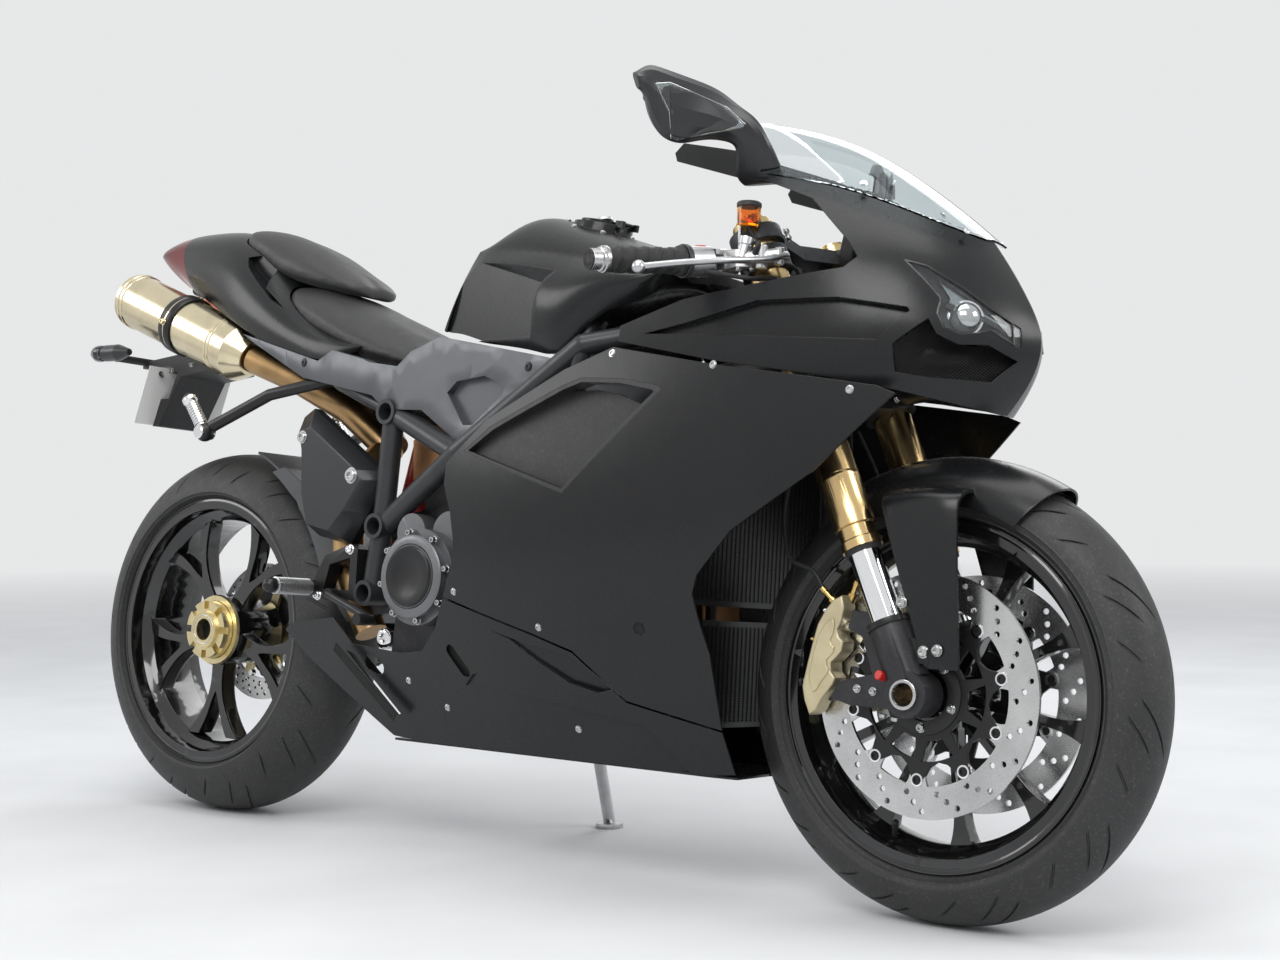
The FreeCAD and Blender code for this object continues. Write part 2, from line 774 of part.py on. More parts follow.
def side_tubes(out):
    r = TUBE
    a, b, c = [(p[0], -out, p[2]) for p in (NODE_A, NODE_B, NODE_C)]
    join = (668, -168, 612)
    high = along_fork(0, 595, -size("steer_offset"))
    low = along_fork(0, 487, -size("steer_offset"))
    fore = high + Vector(-28, -52, -11)
    under = low + Vector(-31, -40, -8)
    return [
        run([b, join, (900, -165, 765), fore, high], r),
        run([a, (668, -160, 606)], r),
        run([a, b, c], r),
        run([join, (860, -150, 585), under, low], r),
        run([(900, -165, 765), (860, -150, 585)], r - 3),
        run([a, (330, -100, 735), (200, -60, 800), (60, -30, 880), (-150, -26, 935)], r - 5),
        run([(668, -150, 612), (560, -95, 728), (330, -95, 752)], r - 5),
    ]


def trellis():
    r = TUBE
    half = fuse(side_tubes(130))
    cross = [rod((p[0], -152, p[2]), (p[0], 166, p[2]), r + 3) for p in (NODE_A, NODE_B, NODE_C)]
    cross.append(rod((-60, -28, 905), (-60, 28, 905), 9))
    cross.append(rod((330, -98, 752), (330, 98, 752), 9))
    head = rod(HEAD_LOW, HEAD_TOP, 33)
    solid = fuse([half, mirrored(fuse(side_tubes(150))), head] + cross)
    for p in (NODE_A, NODE_B, NODE_C):
        solid = solid.cut(rod((p[0], -160, p[2]), (p[0], 180, p[2]), r - 3))
    bore = rod(along_fork(0, 400, -size("steer_offset")), along_fork(0, 700, -size("steer_offset")), 20)
    solid = solid.cut(bore)
    for side_y in (-1, 1):
        solid = solid.cut(rod(along_fork(side_y * LEG, 400), along_fork(side_y * LEG, 720), 45))
    return solid.removeSplitter()


FRAME = trellis()
feature("trellis_frame", FRAME)


def engine():
    case = prism([(500, 300), (520, 520), (640, 545), (800, 500), (850, 420), (830, 270), (700, 225),
                  (560, 235)],
                 -118, 108)
    rear_base = prism([(520, 500), (640, 530), (620, 600), (505, 580)], -75, 75)
    rear_head = prism([(500, 575), (630, 598), (618, 655), (560, 672), (495, 640)], -92, 92)
    front_base = prism([(840, 300), (930, 320), (935, 440), (840, 430)], -75, 75)
    front_head = prism([(925, 300), (1020, 318), (1015, 440), (925, 450)], -92, 92)
    shaft = rod((560, 100, 405), (560, 128, 405), 12)
    block = fuse([case, rear_base, front_base, shaft])
    block = block.cut(FRAME)
    cover = fuse([rod((598, -170, 422), (598, -118, 422), 74), rod((598, -182, 422), (598, -170, 422), 62),
                  rod((560, -150, 490), (560, -118, 490), 30), rod((640, -150, 490), (640, -118, 490), 34)])
    cover = cover.fuse(rod((598, -188, 422), (598, -182, 422), 48))
    left_cover = fuse([rod((690, 108, 400), (690, 148, 400), 82)])
    feature("engine_block", block)
    feature("cam_covers", Part.makeCompound([rear_head.cut(FRAME).cut(block),
                                             front_head.cut(FRAME).cut(block)]))
    feature("engine_covers", Part.makeCompound([cover.cut(FRAME), left_cover.cut(FRAME)]))
    return block


ENGINE = engine()


def swingarm():
    hub = rod((0, 64, RR), (0, 108, RR), 72)
    arm = prism([(-10, 386), (120, 430), (250, 470), (400, 462), (462, 424), (494, 393), (462, 362),
                 (380, 335),
                 (240, 318), (120, 262), (0, 244)], 94, 108)
    slot = prism([(120, 340), (250, 366), (250, 425), (140, 396)], 50, 115)
    bridge = prism([(345, 470), (400, 452), (462, 424), (494, 393), (462, 362), (380, 345), (345, 380)],
                   -104, 108)
    bridge = bridge.cut(rod((0, -200, RR), (0, 92, RR), RR + 12))
    solid = fuse([arm.cut(slot), hub, bridge])
    solid = solid.cut(rod((0, 40, RR), (0, 160, RR), 30))
    pivot = rod((size("pivot_x"), -200, size("pivot_z")), (size("pivot_x"), 200, size("pivot_z")), TUBE + 3)
    solid = solid.cut(pivot).cut(FRAME).cut(ENGINE)
    return max(solid.Solids, key=lambda s: s.Volume)


SWINGARM = swingarm()
feature("swingarm", SWINGARM)


def rear_brake():
    flat = [(128, 322), (150, 236), (128, 200), (70, 180), (60, 218), (82, 240), (88, 300), (100, 325)]
    body = prism(flat, 40, 62)
    body = body.cut(rod((0, 48.5, RR), (0, 59.5, RR), size("rear_disc_radius") + 3))
    link = prism([(20, 275), (62, 214), (128, 214), (128, 300), (60, 340)], 60, 64)
    return body.fuse(link).removeSplitter()


def hugger():
    outer = Part.makeCylinder(RR + 22, 196, Vector(0, -98, RR), Vector(0, 1, 0))
    inner = Part.makeCylinder(RR + 18, 196, Vector(0, -98, RR), Vector(0, 1, 0))
    wedge = prism([(0, RR), (400, RR + 175), (420, RR + 330), (170, RR + 400)], -100, 100)
    band = outer.cut(inner).common(wedge)
    cheek = prism([(300, 430), (345, 470), (318, 520), (262, 560), (200, 598), (170, 590), (236, 540)],
                  -98, -93)
    cheek = cheek.cut(Part.makeCylinder(RR + 8, 300, Vector(0, -150, RR), Vector(0, 1, 0)))
    return fuse([band, cheek]).cut(SWINGARM).cut(FRAME)


feature("rear_caliper", rear_brake().cut(SWINGARM))


def shock():
    spring = rod((405, 0, 470), (455, 0, 655), 32)
    return fuse([spring, rod((400, 0, 445), (405, 0, 470), 18)]).cut(SWINGARM).cut(FRAME).cut(ENGINE)


SHOCK = shock()
feature("rear_shock", SHOCK)


# Exhaust
def silencers():
    r = size("silencer_radius")
    way = Vector(-305, 0, 112).normalize()
    cans = []
    straps = []
    for side in (-1, 1):
        front = Vector(52, side * 82, 800)
        rear = front + way * 322
        can = fuse([rod(front, rear, r), cone(front - way * 34, front, 30, r),
                    cone(rear, rear + way * 14, r, r - 10)])
        can = can.cut(rod(rear - way * 40, rear + way * 30, r - 16))
        cans.append(can)
        s0 = front + way * 150
        straps.append(rod(s0, s0 + way * 26, r + 4, r))
    return cans, straps


CANS, STRAPS = silencers()
CAN_WAY = Vector(-305, 0, 112).normalize()


def can_room(extra):
    room = []
    for side in (-1, 1):
        front = Vector(52, side * 82, 800)
        room.append(rod(front - CAN_WAY * 60, front + CAN_WAY * 420, size("silencer_radius") + extra))
    return room


CAN_ROOM = can_room(6)


def pipes():
    parts = []
    for side in (-1, 1):
        end = Vector(52, side * 82, 800) + Vector(305, 0, -112).normalize() * 34
        parts.append(run([end, (180, side * 62, 752), (280, side * 34, 700), (350, side * 10, 640)], 24))
    collector = run([(350, 0, 640), (350, -88, 560), (368, -96, 430), (430, -96, 330)], 26)
    solid = fuse(parts + [collector])
    return solid


def exhaust():
    pipe = pipes()
    for can in CANS:
        pipe = pipe.cut(can)
    pipe = pipe.cut(SWINGARM).cut(FRAME).cut(ENGINE).cut(SHOCK)
    pipe = max(pipe.Solids, key=lambda s: s.Volume)
    feature("exhaust_pipe", pipe)
    feature("silencers", Part.makeCompound([can.fuse(strap) for can, strap in zip(CANS, STRAPS)]))
    return pipe


PIPE = exhaust()
HUGGER = hugger().cut(PIPE)
feature("hugger", max(HUGGER.Solids, key=lambda s: s.Volume))


def guard_box():
    back = [(276, 678), (300, 692), (462, 588), (478, 572), (440, 520), (404, 470), (330, 482), (304, 540),
            (292, 620)]
    front = [(304, 650), (330, 656), (440, 586), (452, 570), (418, 524), (386, 490), (334, 500), (318, 548),
             (312, 620)]
    wires = []
    for flat, y in ((back, -112), (back, -128), (front, -163)):
        pts = [Vector(x, y, z) for x, z in flat]
        wires.append(Part.makePolygon(pts + [pts[0]]))
    body = Part.makeLoft(wires, True, True)
    body = body.cut(PIPE).cut(FRAME).cut(SWINGARM)
    return max(body.Solids, key=lambda s: s.Volume)


GUARD = guard_box()
feature("exhaust_guard", GUARD)


# Seat, tail and tank
def knee_recess(side):
    inner = [(600, 925), (829, 857), (778, 787), (545, 797)]
    outer = [(600, 962), (806, 1018), (795, 771), (540, 778)]
    wires = []
    for flat, away in ((inner, 0.0), (outer, 62.0)):
        pts = [Vector(x, side * (94 + 0.2 * (x - 600) + away), z) for x, z in flat]
        wires.append(Part.makePolygon(pts + [pts[0]]))
    return Part.makeLoft(wires, True, True)


def tank():
    stations = [
        (562, 0.525, 952, (82, 938), (90, 880), (86, 816)),
        (602, 0.42, 976, (90, 940), (107, 880), (98, 806)),
        (650, 0.25, 994, (97, 936), (124, 870), (112, 792)),
        (720, 0.1, 991, (107, 928), (144, 862), (128, 778)),
        (790, 0.0, 974, (116, 918), (159, 852), (142, 764)),
        (840, 0.0, 958, (122, 908), (167, 850), (150, 760)),
        (890, 0.0, 942, (126, 898), (169, 854), (152, 792)),
        (940, 0.0, 925, (122, 888), (164, 860), (146, 822)),
        (1000, 0.0, 900, (104, 874), (146, 864), (126, 846)),
        (1040, 0.0, 881, (84, 868), (116, 864), (98, 855)),
    ]
    rings = []
    for x, lean, top, shoulder, flank, foot in stations:
        drop = top - shoulder[1]
        crown = [(0, top), (shoulder[0] * 0.5, top - 0.14 * drop), (shoulder[0] * 0.82, top - 0.5 * drop),
                 shoulder]
        rings.append(creased_ring(x, lean, 850, crown, [flank, foot],
                                  [(foot[0] * 0.6, max(foot[1] + 8, 786))]))
    solid = loft(rings)
    for out, side in ((165, -1), (185, 1)):
        solid = solid.cut(knee_recess(side))
        solid = solid.fuse(rod((900, side * out, 765), (892, side * 110, 818), 11))
    return solid.cut(rod(along_fork(0, 380, -36), along_fork(0, 760, -36), 58))


CAP_AT = Vector(790, 0, 979)
CAP_TILT = 9.2
CAP_HINGE = 47.0


def on_cap(shape):
    shape = shape.copy()
    shape.rotate(Vector(0, 0, 0), Vector(0, 1, 0), CAP_TILT)
    shape.translate(CAP_AT)
    return shape


def cap_ring():
    ring_part = rod((0, 0, -14), (0, 0, 2), 46)
    lugs = [box(39, 54, y - 3, y + 3, -2, 9) for y in (-17, 17)]
    ring_part = fuse([ring_part] + lugs)
    return on_cap(ring_part.cut(rod((CAP_HINGE, -30, 6), (CAP_HINGE, 30, 6), 2.3)))


def fuel_cap():
    lid = fuse([rod((0, 0, 2.6), (0, 0, 7), 36), box(20, CAP_HINGE, -11, 11, 2.9, 7),
                rod((CAP_HINGE, -11, 6), (CAP_HINGE, 11, 6), 3), rod((CAP_HINGE, -20, 6),
                                                                     (CAP_HINGE, 20, 6), 2)])
    return on_cap(lid)


TANK = tank().cut(FRAME).fuse(cap_ring())
TANK = max(TANK.Solids, key=lambda s: s.Volume)
feature("fuel_tank", TANK)
feature("fuel_cap", fuel_cap())


def tail():
    stations = [
        (-204, -1.35, 1009, (24, 1003), (30, 974), (22, 940)),
        (-170, -0.9, 1028, (45, 1004), (50, 966), (40, 931)),
        (-143, -0.5, 1037, (54, 1002), (62, 960), (51, 924)),
        (-95, -0.25, 1039, (65, 996), (78, 950), (68, 911)),
        (-35, 0.0, 1034, (76, 984), (92, 935), (82, 887)),
        (35, 0.0, 1012, (88, 960), (107, 904), (100, 847)),
        (95, 0.0, 984, (99, 922), (116, 874), (110, 826)),
        (160, 0.0, 930, (109, 877), (122, 842), (118, 808)),
        (230, 0.0, 880, (117, 836), (126, 813), (124, 789)),
        (300, 0.0, 842, (124, 808), (129, 792), (129, 774)),
        (350, 0.0, 822, (123, 798), (126, 788), (124, 776)),
        (440, 0.0, 806, (112, 792), (115, 782), (110, 770)),
        (566, 0.0, 808, (116, 798), (120, 786), (114, 770)),
    ]
    rings = []
    for x, lean, top, shoulder, flank, foot in stations:
        drop = top - shoulder[1]
        crown = [(0, top), (shoulder[0] * 0.55, top - 0.22 * drop), shoulder]
        rings.append(creased_ring(x, lean, 960, crown, [flank, foot], [(foot[0] * 0.5, foot[1] - 2)]))
    return loft(rings)


def seat_pad():
    stations = [(138, 44, 921, 900), (172, 86, 920, 880), (222, 104, 910, 848), (280, 114, 890, 822),
                (330, 118, 868, 802), (400, 118, 840, 778), (450, 115, 820, 766), (498, 106, 802, 758),
                (520, 78, 788, 762)]
    rings = []
    for x, w, top, low in stations:
        tall = top - low
        half = [(0, top), (w * 0.6, top - 0.1 * tall), (w * 0.92, top - 0.42 * tall), (w, top - 0.78 * tall),
                (w * 0.9, low), (0, low)]
        rings.append(ring(x, half))
    pad = loft(rings).cut(TANK).cut(FRAME)
    return max(pad.Solids, key=lambda s: s.Volume)


SEAT = seat_pad()
feature("rider_seat", SEAT)
def pillion_pad():
    stations = [(0, 40, 1034, 1016), (20, 58, 1034, 1004), (60, 68, 1028, 988), (100, 75, 1018, 966),
                (155, 80, 998, 943), (200, 79, 976, 931), (240, 74, 952, 922), (284, 60, 927, 912),
                (304, 30, 914, 907)]
    rings = []
    for x, w, top, low in stations:
        tall = top - low
        half = [(0, top), (w * 0.6, top - 0.12 * tall), (w * 0.93, top - 0.55 * tall), (w, low),
                (w * 0.86, low - 12), (0, low - 14)]
        rings.append(ring(x, half))
    return loft(rings)


def air_slot(side):
    flat = [(50, 970), (92, 979), (118, 946), (126, 908), (184, 868), (150, 884), (96, 924), (62, 952)]
    y0, y1 = sorted((side * 66, side * 160))
    return prism(flat, y0, y1)


COWL = pillion_pad().cut(SEAT)
TAIL = tail().cut(SEAT).cut(FRAME).cut(TANK)
for room in CAN_ROOM + [air_slot(-1), air_slot(1)]:
    TAIL = TAIL.cut(room)
TAIL = max(TAIL.Solids, key=lambda s: s.Volume)
lamp_cut = prism([(-161, 1006), (-160, 1070), (-320, 1070), (-320, 900), (-115, 900)], -90, 90)
LAMP = TAIL.common(lamp_cut)
feature("tail_lamp", LAMP)
TAIL = TAIL.cut(lamp_cut).cut(COWL)
TAIL = max(TAIL.Solids, key=lambda s: s.Volume)
feature("tail_fairing", TAIL)
feature("pillion_cover", COWL)


def side_cover(side):
    rear = [(85, 829), (305, 770), (343, 786), (420, 768), (470, 750), (470, 702), (448, 708), (268, 744),
            (110, 816)]
    fore = [(330, 782), (420, 764), (505, 752), (535, 774), (600, 794), (800, 757), (838, 749), (700, 646),
            (655, 626), (566, 681), (483, 684), (448, 708), (330, 734)]
    hole = [(622, 706), (642, 723), (700, 729), (745, 712), (738, 698), (680, 655), (660, 655)]
    widths = [(60, 108), (200, 124), (320, 136), (450, 146), (620, 153), (860, 160)]
    outer = [[(x, side * w, z) for z in (600, 700, 860)] for x, w in widths]
    inner = [[(x, side * (w - size("cover_depth")), z) for z in (600, 700, 860)] for x, w in widths]
    solid = shell_solid(outer, inner)
    y0, y1 = sorted((side * 60, side * 190))
    solid = solid.common(prism(rear, y0, y1).fuse(prism(fore, y0, y1)))
    y0, y1 = sorted((side * 141, side * 190))
    solid = solid.cut(prism(hole, y0, y1))
    for other in (FRAME, TANK, SEAT, TAIL, PIPE, GUARD, ENGINE):
        solid = solid.cut(other)
    return max(solid.Solids, key=lambda s: s.Volume)


COVER_R = side_cover(-1)
COVER_L = side_cover(1)
feature("side_covers", Part.makeCompound([COVER_R, COVER_L]))


# Number plate carrier
def plate_carrier():
    spine = prism([(-60, 800), (-150, 812), (-262, 800), (-262, 788), (-180, 790), (-222, 680), (-206, 680),
                   (-150, 770), (-70, 780)], -52, 52)
    hole = prism([(-160, 778), (-192, 778), (-208, 730), (-180, 730)], -60, 60)
    solid = spine.cut(hole)
    stem = box(-90, -66, -20, 20, 796, 870)
    arms = rod((-256, -122, 800), (-256, 122, 800), 7)
    solid = fuse([solid, stem, arms])
    for can in CANS + STRAPS:
        solid = solid.cut(can)
    return solid


CARRIER = plate_carrier().cut(TAIL).cut(FRAME)
CARRIER = max(CARRIER.Solids, key=lambda s: s.Volume)
feature("plate_carrier", CARRIER)
half_plate = size("plate_width") / 2
plate_shape = Part.makeBox(1.5, 2 * half_plate, size("plate_height"),
                           Vector(0, -half_plate, -size("plate_height")))
plate_shape.rotate(Vector(0, 0, 0), Vector(0, 1, 0), 19)
plate_shape.translate(Vector(-186, 0, 786))
feature("number_plate", plate_shape.cut(CARRIER))
lamps_behind = []
for side in (-1, 1):
    y = side * 134
    shape = fuse([rod((-250, side * 118, 800), (-250, y, 804), 9),
                  cone((-196, y, 806), (-226, y, 806), 6, 15),
                  rod((-226, y, 806), (-262, y, 806), 15), cone((-262, y, 806), (-289, y, 806), 15, 6)])
    shape = shape.cut(CARRIER)
    lamps_behind.append(max(shape.Solids, key=lambda s: s.Volume))
feature("rear_indicators", Part.makeCompound(lamps_behind))


# Foot controls
def foot_brackets():
    brackets = []
    pedals = []
    for side in (-1, 1):
        out = 126 if side < 0 else 136
        y0, y1 = sorted((side * out, side * (out + 26)))
        flat = [(352, 380), (350, 412), (372, 450), (430, 470), (446, 462), (446, 380)]
        hole = [(372, 396), (430, 396), (430, 448), (384, 436)]
        plate = prism(flat, y0, y1).cut(prism(hole, y0 - 5, y1 + 5))
        plate = plate.fuse(rod((430, side * (out + 13), 393), (470, side * (out + 13), 393), 12))
        plate = plate.cut(FRAME).cut(GUARD).cut(SWINGARM).cut(ENGINE).cut(PIPE)
        plate = max(plate.Solids, key=lambda s: s.Volume)
        peg = fuse([rod((352, side * (out + 24), 398), (352, side * 246, 398), 12),
                    ball((352, side * 246, 398), 12)])
        brackets.append(plate.fuse(peg).removeSplitter())
        far = out + 46
        pedal = fuse([rod((400, side * (out + 26), 388), (400, side * (far - 4), 388), 10),
                      run([(400, side * (far - 4), 388), (470, side * far, 366), (506, side * far, 352)], 7),
                      rod((506, side * far, 352), (506, side * (far + 32), 352), 9)])
        pedals.append(pedal.cut(brackets[-1]))
    feature("peg_brackets", Part.makeCompound(brackets))
    feature("foot_levers", Part.makeCompound(pedals))


foot_brackets()


def pillion_pegs():
    rests = []
    for side in (-1, 1):
        arm = run([(330, side * 112, 742), (200, side * 140, 716), (80, side * 160, 662)], 10)
        for other in [PIPE, FRAME, TAIL, COVER_R, COVER_L, GUARD] + CANS:
            arm = arm.cut(other)
        arm = max(arm.Solids, key=lambda s: s.Volume)
        peg = fuse([ball((72, side * 168, 652), 16), rod((72, side * 168, 652), (30, side * 172, 710), 8),
                    ball((30, side * 172, 710), 10)])
        rests.append(arm.fuse(peg).removeSplitter())
    feature("pillion_footrests", Part.makeCompound(rests))


pillion_pegs()


# Fairing panels cut from one width field
FIELD_Z = [150, 220, 300, 400, 500, 600, 700, 780]
FIELD = [
    (220, [60, 80, 105, 125, 135, 140, 140, 135]),
    (400, [85, 105, 130, 150, 160, 165, 165, 160]),
    (550, [100, 122, 150, 178, 190, 192, 185, 175]),
    (700, [105, 132, 165, 200, 218, 215, 200, 185]),
    (850, [108, 138, 172, 208, 228, 228, 210, 190]),
    (1000, [108, 136, 168, 204, 226, 230, 215, 198]),
    (1150, [100, 126, 156, 190, 214, 222, 214, 200]),
    (1300, [85, 108, 136, 168, 192, 205, 204, 192]),
    (1470, [62, 82, 106, 134, 156, 168, 168, 156]),
]


def hull_shell(side, inset=0.0, wall=0.0, slope=0.0):
    wall = wall or size("panel_wall")

    def line(x, widths, depth):
        deeper = depth + slope * max(0, x - 700)
        return [(x, side * (w - deeper), z) for w, z in zip(widths, FIELD_Z)]

    outer = [line(x, widths, inset) for x, widths in FIELD]
    inner = [line(x, widths, inset + wall) for x, widths in FIELD]
    return shell_solid(outer, inner)


VENT_INSIDE = [(730, 610), (924, 553), (1070, 687), (1066, 690), (1010, 701), (938, 705), (905, 695),
               (778, 640)]
SIDE_VENT = [(721, 609), (925, 547), (1082, 690), (1074, 696), (1012, 707), (936, 711), (900, 700),
             (770, 644)]
VENT_GAP = [(905, 695), (950, 696), (990, 689), (1046, 668), (1074, 690), (1010, 701), (938, 705)]
SIDE_FLAT = [(683, 592), (700, 606), (760, 655), (900, 725), (985, 754), (1165, 722), (1300, 704),
             (1400, 690),
             (1425, 680), (1320, 580), (1200, 500), (1145, 440), (1135, 415), (1140, 380), (1150,
                                                                                            335), (1150,
                                                                                                   232),
             (1000, 262), (920, 327), (850, 348), (750, 374), (675, 394), (700, 440), (707, 480), (700, 520),
             (683, 560)]
BELLY_FLAT = [(672, 391), (750, 371), (850, 345), (918, 324), (1000, 259), (1150, 229), (1160, 172),
              (1120, 168),
              (560, 168), (500, 172), (300, 285), (245, 326), (262, 338), (385, 352), (430, 312), (550, 304),
              (605, 310), (645, 345)]


def panel(side, flat, holes=(), inset=0.0, wall=0.0, slope=0.0):
    y0, y1 = (-300, -20) if side < 0 else (20, 300)
    solid = hull_shell(side, inset, wall, slope).common(prism(flat, y0, y1))
    for hole in holes:
        solid = solid.cut(prism(hole, y0, y1))
    return max(solid.Solids, key=lambda s: s.Volume)


def fairings():
    made = {}
    for tag, side in (("right", -1), ("left", 1)):
        made["side_fairing_" + tag] = panel(side, SIDE_FLAT, [SIDE_VENT])
        floor = panel(side, SIDE_VENT, [VENT_GAP], inset=9, slope=0.06)
        y0, y1 = (-300, -20) if side < 0 else (20, 300)
        frame_ring = prism(SIDE_VENT, y0, y1).cut(prism(VENT_INSIDE, y0, y1))
        walls = hull_shell(side, 0.0, 32.0).common(frame_ring)
        made["vent_" + tag] = fuse([floor, walls])
    return made


PANELS = fairings()
for label in ("side_fairing_right", "side_fairing_left"):
    feature(label, PANELS[label])
feature("vent_panels", Part.makeCompound([PANELS["vent_right"], PANELS["vent_left"]]))


BELLY_SCOOP = [(760, 352), (836, 335), (912, 325), (984, 276), (955, 267), (902, 278), (850, 305), (800, 336)]
SCOOP_FLOOR = [(766, 349), (836, 332), (910, 322), (979, 276), (954, 270), (904, 281), (852, 308), (803, 338)]
BELLY_LOW = [(640, 284), (1028, 233), (1088, 176), (1089, 168), (620, 168)]
LOW_FLOOR = [(640, 281), (1026, 230), (1085, 175), (1086, 168), (620, 168)]
BELLY_SLOTS = [oblong((672, 314), (697, 283), 9), oblong((468, 286), (490, 279), 13),
               [(411, 301), (430, 296), (526, 208), (519, 206)]]


def belly_side(side):
    y0, y1 = (-300, -20) if side < 0 else (20, 300)
    pieces = [panel(side, BELLY_FLAT, [BELLY_SCOOP, BELLY_LOW] + BELLY_SLOTS)]
    for outline, inside, slope in ((BELLY_SCOOP, SCOOP_FLOOR, 0.034), (BELLY_LOW, LOW_FLOOR, 0.02)):
        pieces.append(panel(side, outline, slope=slope))
        edge = prism(outline, y0, y1).cut(prism(inside, y0, y1))
        pieces.append(hull_shell(side, 0.0, 13.0).common(edge))
    return fuse(pieces)


def belly():
    halves = [belly_side(side) for side in (-1, 1)]
    floor = plan([(500, -98), (1120, -106), (1160, -100), (1145, 0), (1160, 100), (1120, 106), (500, 98)],
                 165, 168.5)
    solid = fuse([halves[0], floor, halves[1]])
    for cover in (PANELS["side_fairing_right"], PANELS["side_fairing_left"]):
        solid = solid.cut(cover)
    stand_gap = prism([(200, 150), (200, 400), (540, 400), (540, 290), (800, 290), (800, 150)], 20, 300)
    solid = solid.cut(stand_gap)
    return max(solid.Solids, key=lambda s: s.Volume)


BELLY = belly()
feature("belly_pan", BELLY)


# Nose, screen, lamps, mirrors
NOSE_Z = [665, 700, 745, 785, 825, 865, 900, 950, 995, 1060]
NOSE = [
    [(1490, 0), (1482, 40), (1450, 85), (1405, 120), (1350, 150), (1260, 178), (1150, 196), (1000, 205)],
    [(1520, 0), (1508, 40), (1472, 88), (1425, 128), (1368, 158), (1280, 184), (1160, 200), (1000, 208)],
    [(1542, 0), (1528, 40), (1490, 90), (1440, 132), (1380, 162), (1290, 188), (1160, 204), (1000, 210)],
    [(1536, 0), (1522, 40), (1484, 90), (1436, 132), (1378, 162), (1286, 188), (1150, 203), (1000, 208)],
    [(1515, 0), (1503, 40), (1468, 88), (1420, 130), (1362, 160), (1270, 184), (1130, 197), (1000, 200)],
    [(1490, 0), (1480, 38), (1448, 84), (1402, 124), (1346, 154), (1250, 178), (1120, 188), (1000, 190)],
    [(1466, 0), (1456, 34), (1422, 78), (1378, 116), (1322, 146), (1232, 168), (1110, 178), (1000, 180)],
    [(1425, 0), (1412, 32), (1378, 72), (1332, 106), (1280, 134), (1196, 156), (1100, 164), (1000, 166)],
    [(1380, 0), (1366, 30), (1330, 66), (1286, 98), (1236, 124), (1166, 146), (1090, 154), (1000, 156)],
    [(1322, 0), (1308, 28), (1272, 60), (1228, 90), (1180, 114), (1120, 134), (1060, 140), (1000, 142)],
]


def nose_rows(side, inset):
    rows = []
    for z, row in zip(NOSE_Z, NOSE):
        line = []
        for k, (x, y) in enumerate(row):
            a = row[max(k - 1, 0)]
            b = row[min(k + 1, len(row) - 1)]
            dx, dy = b[0] - a[0], b[1] - a[1]
            n = math.hypot(dx, dy)
            nx, ny = -dy / n, dx / n
            if k == 0:
                nx, ny = -1.0, 0.0
            line.append((x + nx * inset, side * (y + ny * inset), z))
        rows.append(line)
    return rows


def nose_shell(side, inset=0.0):
    wall = size("panel_wall")
    return shell_solid(nose_rows(side, inset), nose_rows(side, inset + wall))


NOSE_FLAT = [(1000, 782), (1100, 815), (1250, 838), (1330, 850), (1345, 865), (1330, 885), (1262, 952),
             (1190, 982),
             (1144, 990), (1040, 1023), (1034, 1036), (1046, 1050), (1133, 1031), (1180, 1012), (1330, 962),
             (1432, 915), (1470, 900), (1600, 900), (1600, 690), (1490, 668), (1400, 690), (1300, 708),
             (1165, 727), (1000, 760)]
LAMP_FLAT = [(1400, 861), (1425, 836), (1448, 810), (1447, 790), (1456, 771), (1472, 764), (1488, 766),
             (1500, 772),
             (1520, 755), (1540, 743), (1548, 748), (1530, 772), (1467, 826), (1425, 854)]
INTAKE = [(1440, 782), (1402, 748), (1403, 712), (1440, 707), (1496, 706), (1521, 735), (1499, 752),
          (1472, 750),
          (1450, 762)]
SCOOP = [(1032, 769), (1110, 784), (1216, 811), (1330, 812), (1420, 799), (1424, 792), (1384, 750),
         (1300, 753),
         (1150, 761)]
SCOOP_INSIDE = [(1042, 769), (1112, 782), (1217, 808), (1329, 809), (1416, 796), (1419, 791), (1382, 753),
                (1300, 756), (1150, 764)]


def nose():
    halves = []
    lamps = []
    for side in (-1, 1):
        y0, y1 = (-260, 0) if side < 0 else (0, 260)
        far0, far1 = sorted((side * 30, side * 260))
        shell = nose_shell(side).common(prism(NOSE_FLAT, y0, y1))
        lens = nose_shell(side, 1.0).common(prism(LAMP_FLAT, far0, far1))
        for hole in (LAMP_FLAT, INTAKE, SCOOP):
            shell = shell.cut(prism(hole, far0, far1))
        floor = nose_shell(side, 12.0).common(prism(SCOOP, far0, far1))
        lip = prism(SCOOP, far0, far1).cut(prism(SCOOP_INSIDE, far0, far1))
        deep = shell_solid(nose_rows(side, 0.0), nose_rows(side, 15.0))
        shell = fuse([shell, floor, deep.common(lip)])
        halves.append(max(shell.Solids, key=lambda s: s.Volume))
        lamps.append(max(lens.Solids, key=lambda s: s.Volume))
    return fuse(halves), lamps


NOSE_SOLID, LENSES = nose()
NOSE_SOLID = NOSE_SOLID.cut(PANELS["side_fairing_right"]).cut(PANELS["side_fairing_left"])
NOSE_SOLID = max(NOSE_SOLID.Solids, key=lambda s: s.Volume)
feature("nose_fairing", NOSE_SOLID)
feature("headlight_lenses", Part.makeCompound(LENSES))

SCREEN = [
    [(1468, 30, 900), (1468, 15, 902), (1468, 0, 903)],
    [(1432, 80, 914), (1428, 45, 935), (1424, 0, 943)],
    [(1340, 124, 958), (1330, 75, 1006), (1324, 0, 1024)],
    [(1262, 144, 978), (1240, 92, 1056), (1222, 0, 1084)],
    [(1188, 152, 992), (1120, 98, 1086), (1078, 0, 1119)],
]


